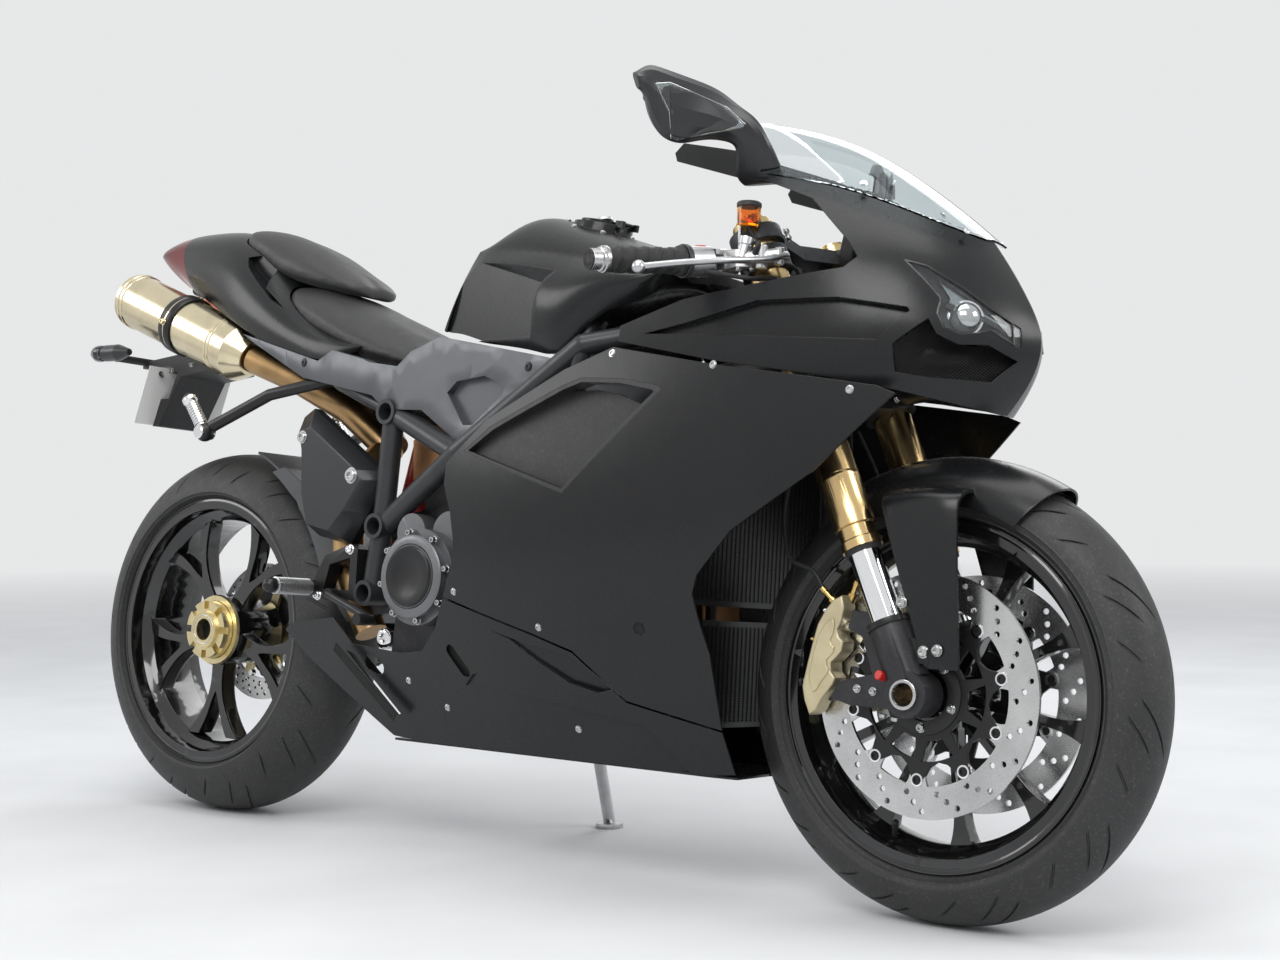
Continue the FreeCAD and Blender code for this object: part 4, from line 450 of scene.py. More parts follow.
# Tyres: the grooves follow the skewed lines of the mesh
def tyre(name, body, node, axle, radius, crown, seat, turns, skew, grooves):
    middle = radius - crown
    marks = []
    for start, _, _, _ in grooves:
        marks += [start, start + 0.008, start + 0.03, start + 0.038]
    marks += [k / 14 for k in range(14) if all(abs(k / 14 - m) > 0.012 for m in marks)]
    marks = sorted(marks)
    angles = sorted({-80, -76, -72, -68, -64, -60, -56, -52, -48, -44, -40, -36, -32, -28, -24, -20, -16,
                     -12, -8, -4})
    angles = angles + [0] + [-a for a in reversed(angles)]
    columns = []
    for turn in range(turns):
        for mark in marks:
            base = 2 * math.pi * (turn + mark) / turns
            line = []
            for tilt in angles:
                depth = 0.0
                for start, side, low, high in grooves:
                    if start < mark < start + 0.038 and (side == 0 or side * tilt > 0):
                        depth = 2.6 * ease((abs(tilt) - low) / 5) * ease((high - abs(tilt)) / 7)
                reach = crown - depth
                swing = base + skew * (abs(tilt) / 80) ** 0.8
                r = middle + reach * math.cos(math.radians(tilt))
                y = reach * math.sin(math.radians(tilt))
                line.append(Vector((axle.x + r * math.cos(swing), y, axle.z + r * math.sin(swing))))
            columns.append((base + skew, line))
    edge_r = middle + crown * math.cos(math.radians(80))
    edge_y = crown * math.sin(math.radians(80))
    form = Form()
    form.grid([line for _, line in columns], along=True)
    foot_r = 231.0
    for side in (-1, 1):
        rows = []
        for swing, _ in columns:
            row = []
            for t, rise in ((0, 0), (0.06, 0.7), (0.12, 0.7), (0.16, 0), (0.42, 0.6), (0.46, 1.3),
                            (0.52, 1.3),
                            (0.56, 0.4), (0.78, 0), (0.84, 1.5), (1.0, 1.5), (1.06, 0), (1.1, -6)):
                r = edge_r + (foot_r - edge_r) * t
                y = edge_y + (seat - edge_y) * t + rise + 3.0 * math.sin(math.pi * min(t, 1))
                row.append(Vector((axle.x + r * math.cos(swing), side * y, axle.z + r * math.sin(swing))))
            rows.append(row[::-1] if side < 0 else row)
        form.grid(rows, along=True)
    made = piece(name, body, form, "rubber", angle=28)
    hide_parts(node)
    return made


def tyres():
    tyre("front_tyre_tread", "front_wheel", "front_tyre", FRONT_AXLE, FRONT_RADIUS, FRONT_CROWN, 44.3, 11,
         0.42,
         [(0.06, 1, 5, 50), (0.30, -1, 30, 66), (0.34 + 0.05, 1, 34, 66), (0.56, -1, 5, 50),
          (0.80, 1, 44, 70),
          (0.88, -1, 44, 70)])
    tyre("rear_tyre_tread", "rear_wheel", "rear_tyre", REAR_AXLE, REAR_RADIUS, REAR_CROWN, 69.8, 11, 0.36,
         [(0.06, 1, 6, 50), (0.30, -1, 26, 62), (0.39, 1, 30, 62), (0.56, -1, 6, 50), (0.80, 1, 44, 70),
          (0.88, -1, 44, 70)])


def wheel_trim():
    lips = Form()
    for half, y_sign in ((50.5, -1), (50.5, 1)):
        lips.lathe(FRONT_AXLE, (0, y_sign, 0), [(half - 3, 222), (half + 0.6, 223.5), (half + 1.4, 226),
                                                (half + 0.4, 229),
                                              (half - 3, 230.6)], 96, closed=True)
    piece("front_rim_lips", "front_wheel", lips, "gloss_black")
    lips = Form()
    for y_sign in (-1, 1):
        lips.lathe(REAR_AXLE, (0, y_sign, 0), [(73, 222), (76.6, 223.5), (77.4, 226), (76.4, 229),
                                               (73, 230.6)], 96,
                   closed=True)
    piece("rear_rim_lips", "rear_wheel", lips, "gloss_black")
    stems = Form()
    for axle, degrees in ((FRONT_AXLE, 250), (REAR_AXLE, 110)):
        root = around(axle, 212, degrees, -12)
        way = (around(axle, 180, degrees, -30) - root).normalized()
        target = stems if axle is FRONT_AXLE else None
        form = Form().lathe(root, way, [(0, 4.6), (8, 4.0), (22, 3.6), (22, 4.8), (33, 4.8), (35, 3)], 14)
        if target is not None:
            piece("front_valve", "front_wheel", form, "rubber")
        else:
            piece("rear_valve", "rear_wheel", form, "rubber")


def disc_details():
    """Bobbins, their cores and the tabs of the front discs."""
    for tag, y in (("right", -71.0), ("left", 71.0)):
        side = -1 if y < 0 else 1
        rings, cores, tabs = Form(), Form(), Form()
        for k in range(10):
            degrees = 36 * k + 14
            spot = around(FRONT_AXLE, 110.5, degrees, y)
            out = Vector((0, side, 0))
            rings.lathe(spot - out * 3.6, out, [(0, 5.2), (0, 9.6), (5.6, 9.6), (7.4, 8.6), (7.6, 6.4),
                                                (6.4, 5.2)], 24,
                        closed=True)
            cores.lathe(spot - out * 4, out, [(0, 5.3), (9.4, 5.3), (9.6, 3.4), (7.6, 3.0), (7.6, 0.05)], 16)
            a = math.radians(degrees)
            tab = []
            for r, w in ((104, 11), (110, 12.5), (116, 15), (121, 21), (121, -21), (116, -15), (110, -12.5),
                         (104, -11)):
                tab.append((r * math.cos(a) - w * math.sin(a), r * math.sin(a) + w * math.cos(a)))
            hole = circle(110.5 * math.cos(a), 110.5 * math.sin(a), 8.8, 20)
            tabs.plate([tab, hole], (FRONT_AXLE.x, y, FRONT_AXLE.z), (1, 0, 0), (0, 0, 1), 4.6, 0.5)
        piece("front_bobbins_" + tag, "front_wheel", rings, "bright_steel")
        piece("front_bobbin_cores_" + tag, "front_wheel", cores, "satin_black")
        piece("front_disc_tabs_" + tag, "front_wheel", tabs, "disc_steel")


def carrier_outline():
    outline = []
    for k in range(10):
        for d, r in ((-5, 108), (0, 110), (5, 108), (10, 94), (18, 88), (26, 94)):
            a = math.radians(36 * k + 14 + d)
            outline.append((r * math.cos(a), r * math.sin(a)))
    windows = []
    for k in range(5):
        base = 72 * k + 14 + 18
        for low, high, r0, r1 in ((-14, 14, 58, 84), (20, 52, 60, 86)):
            ring = []
            for step in range(7):
                a = math.radians(base + low + (high - low) * step / 6)
                ring.append((r1 * math.cos(a), r1 * math.sin(a)))
            for step in range(5):
                a = math.radians(base + high - (high - low) * (0.16 + 0.68 * step / 4))
                ring.append((r0 * math.cos(a), r0 * math.sin(a)))
            windows.append(ring)
    return [outline, circle(0, 0, 34.5, 40)] + windows


def carriers():
    form, bolts = Form(), Form()
    for y in (-71.0, 71.0):
        side = -1 if y < 0 else 1
        form.plate(carrier_outline(), (FRONT_AXLE.x, y, FRONT_AXLE.z), (1, 0, 0), (0, 0, 1), 6.2, 0.9, 2)
        form.lathe((FRONT_AXLE.x, y, FRONT_AXLE.z), (0, side, 0),
                   [(-2, 34.6), (-2, 54), (5, 52), (7, 46), (7, 34.6)], 48,
                   closed=True)
        for k in range(5):
            spot = around(FRONT_AXLE, 43, 72 * k + 50, y + side * 6.5)
            bolts.bolt(spot, (0, side, 0), 5.2, 5)
    made = piece("front_disc_carrier_plates", "front_wheel", form, "satin_black")
    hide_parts("disc_carriers")
    piece("front_carrier_bolts", "front_wheel", bolts, "steel")


# Fork, calipers, clamps, bars and levers
CALIPER = [(-111, 123), (-124, 117), (-136, 103), (-147, 84), (-155, 55), (-162, 25), (-167, 0), (-163, -18),
           (-154, -37), (-144, -30), (-136, -14), (-121, 4), (-116, 14), (-123, 22), (-124, 34), (-115, 42),
           (-108, 50), (-106, 62), (-113, 68), (-116, 78), (-110, 90), (-107, 108)]
SILVER_BOLTS = ((-140, 101), (-166, 6))
CALIPER_MOUNTS = ((-100, 82), (-104, -10))


def at_axle(x, z, y):
    return Vector((FRONT_AXLE.x + x, y, FRONT_AXLE.z + z))


def calipers():
    bodies, dark, bolts, brass = Form(), Form(), Form(), Form()
    for side in (-1, 1):
        inner = [(x * 0.985 - 2, z * 0.97 + 1) for x, z in CALIPER]
        for y, depth, outline in ((94, 32, CALIPER), (57, 14, inner)):
            bodies.plate([outline], at_axle(0, 0, side * y), (1, 0, 0), (0, 0, 1), depth, 3.2, 3)
        ridge = [(x * 0.62 - 52.5, z * 0.62 + 16) for x, z in CALIPER]
        bodies.plate([ridge], at_axle(0, 0, side * 110), (1, 0, 0), (0, 0, 1), 4.5, 1.6, 2)
        bridge = [(-150, 88), (-156, 60), (-158, 20), (-148, 20), (-143, 60), (-138, 90)]
        bodies.plate([bridge], at_axle(0, 0, side * 72), (1, 0, 0), (0, 0, 1), 28, 1.5)
        for x, z in ((-131, 84), (-140, 34), (-139, -6)):
            dark.plate([circle(0, 0, 12, 24)], at_axle(x, z, side * 80), (1, 0, 0), (0, 0, 1), 16, 2)
        pads = [(-128, 112), (-142, 80), (-150, 20), (-146, -20), (-128, -6), (-122, 40), (-112, 98)]
        dark.plate([pads], at_axle(0, 0, side * 65), (1, 0, 0), (0, 0, 1), 5, 0.5)
        for x, z in SILVER_BOLTS:
            way = Vector((-0.95, 0, 0.1))
            bolts.lathe(at_axle(x + 10, z, side * 92), way, [(0, 7.5), (15, 7.5), (17, 6.6), (17, 4),
                                                             (13, 3.6), (13, 0.05)], 20)
        for x, z in CALIPER_MOUNTS:
            bolts.lathe(at_axle(x - 12, z, side * 88), (1, 0, 0.15),
                        [(0, 8.4), (20, 8.4), (21.5, 7), (26, 6.6), (26, 0.05)],
                        20)
        top = at_axle(-112, 118, side * 84)
        brass.lathe(top, (0.35, 0, 0.94), [(-4, 6), (3, 6), (3, 7.2), (8, 7.2), (8, 4.4), (20, 4.4),
                                           (20, 5.4), (26, 5.4),
                                         (26, 3)], 12)
        other = at_axle(-130, 112, side * 92)
        brass.lathe(other, (-0.7, 0, 0.6), [(-4, 5.6), (3, 5.6), (3, 6.6), (8, 6.6), (8, 4), (22, 4),
                                            (22, 5.2), (29, 5.2),
                                           (29, 3)], 12)
        nipple = at_axle(-152, 60, side * 96)
        brass.lathe(nipple, (-1, 0, 0.3), [(0, 3.5), (5, 3.5), (6, 2.2), (12, 2.2), (13, 1)], 10)
    made = piece("front_caliper_bodies", "steering", bodies, "caliper_gold")
    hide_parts("front_calipers")
    piece("front_caliper_pads", "steering", dark, "satin_black")
    piece("front_caliper_bolts", "steering", bolts, "bright_steel")
    piece("front_caliper_fittings", "steering", brass, "brass")
    hoses = Form()
    for side in (-1, 1):
        start = at_axle(-152, 132, side * 92)
        path = bent([start, start + Vector((-18, -side * 2, 22)), (1222, side * 88, 470),
                     (1206, side * 82, 515),
                     (1204, side * 76, 560), (1214, side * 66, 610), (1226, side * 46, 650),
                     (1234, side * 20, 668)], 5)
        hoses.tube(path, 3.1, 8)
        start = at_axle(-102, 142, side * 84)
        path = bent([start, start + Vector((-3, 0, 20)), (1305, side * 80, 480), (1282, side * 72, 540),
                     (1262, side * 56, 605), (1248, side * 30, 655)], 5)
        hoses.tube(path, 2.6, 8)
    piece("front_brake_pipes", "steering", hoses, "grip_rubber", angle=80)


def fork_details():
    gold, black, steel, seals = Form(), Form(), Form(), Form()
    for side in (-1, 1):
        y = side * LEG
        up = FORK_UP
        gold.lathe(fork_point(y, 0), up, [(203, 24.1), (203, 27.4), (214, 27.4), (216, 25.2), (232, 25.2),
                                          (234, 28.3),
                                          (252, 28.3), (254, 28.05), (300, 28.05), (301, 28.5), (306, 28.5),
                                          (307, 28.05)],
                   40)
        seals.lathe(fork_point(y, 0), up, [(197, 21.7), (197, 24.6), (203, 25.4), (204, 21.7)], 40,
                    closed=True)
        black.lathe(fork_point(y, 0), up, [(93, 21.6), (93, 29.5), (97, 30), (101, 29.5), (101, 21.6)], 40,
                    closed=True)
        steel.lathe((FRONT_AXLE.x, side * 132, FRONT_AXLE.z), (0, side, 0),
                    [(-3, 15.2), (-3, 19.4), (1.6, 19.4), (2.2, 18.6),
                                                                            (2.2, 15.6), (0, 15.2)], 40,
                                                                            closed=True)
        for x, z in ((-26, -31), (-44, -28)):
            steel.bolt(at_axle(x, z, y), (-0.15, 0, -1), 5, 5)
        for x, z in ((-60, 0), (-84, 2)):
            steel.bolt(at_axle(x, z, side * 105.5), (0, side, 0), 4.6, 4)
        cap = fork_point(y, 690)
        gold.lathe(cap, up, [(-2, 27), (3, 27), (4, 25), (4, 21), (9, 21), (9, 16), (6, 15), (6, 0.05)], 32)
        steel.lathe(cap, up, [(5, 11), (12, 11), (13, 9.6), (13, 5), (10, 4.6), (10, 0.05)], 6)
        for x, z in ((-18, 66), (38, 58)):
            steel.bolt(at_axle(x, z, side * 117), (0, side, 0), 6.2, 5.5)
        steel.bolt(at_axle(-15, 117, side * 118.5), (0, side, 0), 6.2, 5.5)
    piece("fork_tube_collars", "steering", gold, "fork_gold")
    piece("fork_dust_seals", "steering", seals, "grip_rubber")
    piece("fork_foot_rings", "steering", black, "satin_black")
    piece("fork_bolts", "steering", steel, "steel")
    dots = Form()
    for side in (-1, 1):
        dots.lathe(at_axle(-37, 22, side * (LEG + 22)), (-0.3, side, 0.2),
                   [(-8, 6.4), (4, 6.4), (5, 5.4), (5, 0.05)], 16)
    piece("fork_adjusters", "steering", dots, "red_switch")
    bore = Form().lathe((FRONT_AXLE.x, 0, FRONT_AXLE.z), (0, 1, 0), [(-60, 14.6), (-60, 0.05)], 24)
    piece("axle_bore_shade", "steering", bore, "pipe_tint")


def clamp_details():
    bolts, black = Form(), Form()
    for height, thick in ((420, 34), (655, 24)):
        for side in (-1, 1):
            for t in (0.3, 0.72):
                spot = fork_point(side * (LEG - 30), height + thick * t, -18 + 18 + 31)
                bolts.bolt(spot, FORK_SQUARE, 4.6, 5)
    stem = fork_point(0, 679, -36)
    bolts.lathe(stem, FORK_UP, [(-2, 22), (8, 22), (10, 20), (10, 13), (2, 12.5), (2, 0.05)], 6)
    black.lathe(stem, FORK_UP, [(-2, 26), (0.5, 26), (0.5, 22.1), (-2, 22.1)], 32, closed=True)
    piece("clamp_bolts", "steering", bolts, "steel")
    piece("stem_washer", "steering", black, "satin_black")


def grip_frame(side):
    low = fork_point(side * LEG, 630)
    start = Vector((low.x, side * (LEG + 20), low.z))
    end = Vector((WHEELBASE - 352, side * 345, FRONT_RADIUS + 546))
    return start, end, (end - start).normalized()


def cockpit():
    rubber, ends, black, silver, red, amber, wires = Form(), Form(), Form(), Form(), Form(), Form(), Form()
    for side in (-1, 1):
        start, end, way = grip_frame(side)
        length = (end - start).length
        right = way.orthogonal().normalized()
        other = way.cross(right)
        rows = []
        steps, around_steps = 96, 40
        for i in range(steps + 1):
            along = length - 118 + 116 * i / steps
            row = []
            for k in range(around_steps):
                turn = 2 * math.pi * k / around_steps
                wave = math.sin(turn * 2 + along * 0.32)
                body = 17.2 + (1.1 if wave > 0.25 else 0.0) * (6 < along - length + 118 < 108)
                body += 3.6 * ease((10 - (along - length + 118)) / 6)
                out = right * math.cos(turn) + other * math.sin(turn)
                row.append(start + way * along + out * body)
            rows.append(row)
        rubber.grid(rows, around=True)
        ends.lathe(start + way * length, way, [(-3, 17.4), (-1, 18.2), (3, 18.2), (4, 16.5), (7, 16.5),
                                               (8, 14.2), (21, 14.2),
                                               (24, 12), (24, 6), (20, 5.4), (20, 0.05)], 32)
        black.lathe(start + way * (length - 122), way, [(-5, 12), (-5, 22.5), (-1, 23), (3, 23), (3, 12)],
                    32, closed=True)
        hub = start + way * (length - 142)
        black.box(hub, way * 19, Vector((14, 0, 2)), Vector((-2, 0, 15)))
        black.lathe(hub + Vector((-14, 0, 4)), Vector((-1, 0, 0.4)), [(0, 6), (5, 6), (6, 5), (6, 0.05)], 16)
        red.box(hub + Vector((-2, 0, 16)), way * 8, Vector((9, 0, 2)), Vector((0, 0, 4)))
        mid = start + way * 50
        silver.box(mid + Vector((16, 0, 1)), way * 17, Vector((17, 0, 2)), Vector((-1, 0, 12)))
        silver.lathe(mid + Vector((27, 0, 6)), Vector((0.1, -side * 0.2, 1)),
                     [(-8, 9), (14, 9), (16, 11), (26, 11)], 24)
        silver.lathe(mid + Vector((48, 0, 3)) - way * 10, Vector((0, 0, 1)),
                     [(-15, 8), (15, 8), (17, 6), (17, 0.05)], 20)
        for k in (-1, 1):
            silver.bolt(mid + way * 11 * k + Vector((31, 0, -12)), Vector((1, 0, -0.2)), 3.4, 3.4)
        root = mid + Vector((3, -side * 24, 40))
        silver.box(root + Vector((6, 0, -6)), Vector((2, 0, 0.4)), Vector((0, 9, 0)), Vector((-1.5, 0, 26)))
        black.lathe(root + Vector((14, 0, 22)), Vector((0, 0, 1)),
                    [(17, 17.2), (22, 17.2), (24, 15.2), (24, 0.05)], 28)
        amber.lathe(root + Vector((14, 0, 22)), Vector((0, 0, 1)),
                    [(-10, 12), (-8, 15.5), (16, 16.6), (17, 14), (-6, 13.4)],
                    28, closed=True)
        wires.tube(bent([hub + Vector((14, 0, -14)), hub + way * -30 + Vector((34, 0, -22)),
                         mid + Vector((46, 0, -26)),
                         (1200, side * 92, 852), (1196, side * 62, 828), (1188, side * 42, 802)], 6), 3.4, 8)
        wires.tube(bent([root + Vector((14, 0, 12)), root + Vector((26, -side * 6, -12)),
                         mid + Vector((52, 0, 22)),
                         mid + Vector((46, 0, 8))], 6), 3.6, 8)
        wires.tube(bent([mid + Vector((44, 0, -4)) - way * 16, (1222, side * 116, 866),
                         (1218, side * 84, 840),
                         (1204, side * 58, 800)], 6), 3.0, 8)
    made = piece("grip_sleeves", "steering", rubber, "grip_rubber", angle=60)
    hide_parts("grips")
    piece("bar_end_weights", "steering", ends, "steel")
    piece("switch_cases", "steering", black, "dark_plastic", bevel=1.6)
    piece("pump_bodies", "steering", silver, "aluminium", bevel=0.9)
    piece("switch_buttons", "steering", red, "red_switch", bevel=1.2)
    piece("fluid_pots", "steering", amber, "amber")
    piece("bar_wires", "steering", wires, "grip_rubber", angle=80)


def levers():
    form, pins = Form(), Form()
    for side in (-1, 1):
        start, end, way = grip_frame(side)
        mid = start + way * 50
        root = mid + Vector((62, 0, 4)) - way * 26
        tip = end + Vector((58, 0, -14))
        middle = Vector(((root.x + tip.x) / 2 + 22, (root.y + tip.y) / 2, (root.z + tip.z) / 2))
        line = bent([root - (middle - root).normalized() * 10, root,
                     root.lerp(middle, 0.35) + Vector((2, 0, -3)), middle,
                     middle.lerp(tip, 0.55) + Vector((3, 0, 1)), tip], 6)
        wide = [9 - 4.2 * ease(k / (len(line) - 1) * 1.6) + 1.2 * math.sin(k * 0.55) * 0.3 for k in range(len(line))]
        rows = []
        for k, point in enumerate(line):
            ahead = (line[min(k + 1, len(line) - 1)] - line[max(k - 1, 0)]).normalized()
            flat = ahead.cross(Vector((0, 0, 1))).normalized()
            rise = flat.cross(ahead).normalized()
            thin = 4.6 + 1.6 * ease(1 - k / (len(line) - 1) * 1.4)
            rows.append([point + flat * math.cos(2 * math.pi * j / 16) * wide[k]
                         + rise * math.sin(2 * math.pi * j / 16) * thin for j in range(16)])
        form.grid(rows, around=True)
        form.add(rows[0][::-1], [tuple(range(16))])
        ball = [(-9 * math.cos(math.pi * k / 10), max(0.05, 9 * math.sin(math.pi * k / 10))) for k in range(11)]
        form.lathe(tip, way, ball, 20)
        pins.lathe(root + Vector((-2, 0, 0)), (0, 0, 1), [(-12, 6), (-11, 7), (11, 7), (12, 6), (12, 0.05)],
                   20)
    made = piece("hand_levers", "steering", form, "aluminium", angle=60)
    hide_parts("levers")
    piece("lever_pins", "steering", pins, "steel")


# Nose: lamps, intake mesh, screws, instruments and mirrors
LENS_EDGE = [(1400, 861), (1425, 836), (1448, 810), (1447, 790), (1456, 771), (1472, 764), (1488, 766),
             (1500, 772),
             (1520, 755), (1540, 743), (1548, 748), (1530, 772), (1467, 826), (1425, 854)]
INTAKE_EDGE = [(1440, 782), (1402, 748), (1403, 712), (1440, 707), (1496, 706), (1521, 735), (1499, 752),
               (1472, 750),
               (1450, 762)]


def inside(outline, x, z):
    odd = False
    for (x0, z0), (x1, z1) in zip(outline, outline[1:] + outline[:1]):
        if (z0 > z) != (z1 > z) and x < x0 + (z - z0) / (z1 - z0) * (x1 - x0):
            odd = not odd
    return odd


def toward(outline, share):
    mx = sum(p[0] for p in outline) / len(outline)
    mz = sum(p[1] for p in outline) / len(outline)
    return [(mx + (x - mx) * share, mz + (z - mz) * share) for x, z in outline]


def nose_half_width(x, z):
    """Half the nose's width, taken from the nose or lens surface nearest to the point."""
    for node in ("headlight_lenses", "nose_fairing"):
        for dx, dz in ((0, 0), (-6, 0), (0, 6), (-10, 4), (-14, -8), (0, -14), (-24, 0)):
            found = surface(node, x + dx, z + dz)
            if found and found[0].y < -4:
                return -found[0].y
    return 60.0


def lamps():
    rims, housing, bowls, beads, reflectors, shades = Form(), Form(), Form(), Form(), Form(), Form()
    dense = []
    for (x0, z0), (x1, z1) in zip(LENS_EDGE, LENS_EDGE[1:] + LENS_EDGE[:1]):
        count = max(1, int(math.hypot(x1 - x0, z1 - z0) / 9))
        dense += [(x0 + (x1 - x0) * k / count, z0 + (z1 - z0) * k / count) for k in range(count)]
    inner = toward(dense, 0.965)
    seen = [any(surface(node, x + 2, z) for node in ("headlight_lenses",
                                                     "nose_fairing")) and x < 1520 for x, z in inner]
    dense = [point for point, kept in zip(dense, seen) if kept]
    inner = [point for point, kept in zip(inner, seen) if kept]
    wide = [nose_half_width(x, z) for x, z in inner]
    for side in (-1, 1):
        loop = [Vector((x, side * (w + 0.3), z)) for (x, z), w in zip(dense, wide)]
        rims.tube(loop + loop[:2], 1.5, 8, capped=False)
        rows = [[Vector((x, side * (w - d), z)) for (x, z), w in zip(inner, wide)] for d in (2, 12, 26)]
        housing.grid(rows, around=True)
        housing.add(rows[-1], [tuple(range(len(rows[-1])))])
        centre = Vector((1474, side * (nose_half_width(1474, 788) - 4), 788))
        way = Vector((0.55, side * 0.83, 0.1)).normalized()
        bowl = [(-20 + 20 * math.sin(math.pi / 2 * k / 8) * 1.0,
                 21.5 * math.cos(math.pi / 2 * k / 8)) for k in range(9)]
        bowls.lathe(centre, way, [(along + 8, max(0.06, radius)) for along, radius in bowl], 32)
        beads.lathe(centre, way, [(-13, 21.5), (-13, 23.6), (-9.5, 23.6), (-9.5, 21.5)], 32, closed=True)
        upper = [(1430, 844), (1452, 812), (1452, 802), (1490, 786), (1508, 777), (1504, 784), (1466, 818)]
        leaf = [Vector((x, side * (nose_half_width(x, z) - 13), z)) for x, z in upper]
        reflectors.slab(leaf, (0, -side * 3, 0))
        visor = [(1450, 799), (1490, 782), (1508, 771), (1506, 777), (1490, 789), (1452, 806)]
        leaf = [Vector((x, side * (nose_half_width(x, z) - 8), z)) for x, z in visor]
        shades.slab(leaf, (0, -side * 5, 0))
    piece("lamp_rims", "chassis", rims, "gloss_black", angle=80)
    piece("lamp_housings", "chassis", housing, "lamp_inner", angle=50)
    piece("lamp_bowls", "chassis", bowls, "lamp_glass", angle=60)
    piece("lamp_beads", "chassis", beads, "bright_steel")
    piece("lamp_reflectors", "chassis", reflectors, "lamp_grey")
    piece("lamp_visors", "chassis", shades, "dial_black", bevel=0.6)


def intake_mesh():
    wires, backs = Form(), Form()
    corners = [(x, z, nose_half_width(x, z)) for x, z in toward(INTAKE_EDGE, 1.12)]
    mx = sum(c[0] for c in corners) / len(corners)
    mz = sum(c[1] for c in corners) / len(corners)
    mw = sum(c[2] for c in corners) / len(corners)
    sxx = sum((c[0] - mx) ** 2 for c in corners)
    szz = sum((c[1] - mz) ** 2 for c in corners)
    sxz = sum((c[0] - mx) * (c[1] - mz) for c in corners)
    sxw = sum((c[0] - mx) * (c[2] - mw) for c in corners)
    szw = sum((c[1] - mz) * (c[2] - mw) for c in corners)
    whole = sxx * szz - sxz * sxz
    tilt_x = (sxw * szz - szw * sxz) / whole
    tilt_z = (szw * sxx - sxw * sxz) / whole
    edge = toward(INTAKE_EDGE, 1.08)
    for side in (-1, 1):
        def spot(x, z, deep):
            return Vector((x, side * (mw + tilt_x * (x - mx) + tilt_z * (z - mz) - deep), z))
        for way in (1, -1):
            for k in range(-34, 35):
                run = []
                for j in range(-50, 51):
                    x, z = mx + k * 4.0 + j * 2.5, mz + way * j * 2.5
                    if inside(edge, x, z):
                        run.append((x, z))
                if len(run) > 1:
                    first, last = run[0], run[-1]
                    wires.tube([spot(first[0], first[1], 13), spot(last[0], last[1], 13)], 0.55, 4,
                               capped=False)
        # Painted shade: the duct walls and closed back behind the mesh are near-black, standing for the shade deep in
        # the intake
        rows = [[spot(x, z, deep) for x, z in edge] for deep in (14, 42)]
        backs.grid(rows, around=True)
        backs.add(rows[1], [tuple(range(len(edge)))])
    piece("intake_mesh", "chassis", wires, "mesh_black", angle=80)
    piece("intake_duct_shade", "chassis", backs, "painted_shade_void")


def screws(name, body, node, places, radius, material, height=2.4, both=True, sink=0.4):
    form = Form()
    for side in (-1, 1) if both else (-1,):
        for x, z in places:
            found = surface(node, x, z, side)
            if found:
                spot, normal = found
                form.bolt(spot - normal * sink, normal, radius, height)
    if form.points:
        piece(name, body, form, material)


def screen_trim():
    screws("screen_screws", "chassis", "windscreen", [(1180, 1010), (1325, 972), (1450, 908)], 4.2,
           "bright_steel", 2.6)


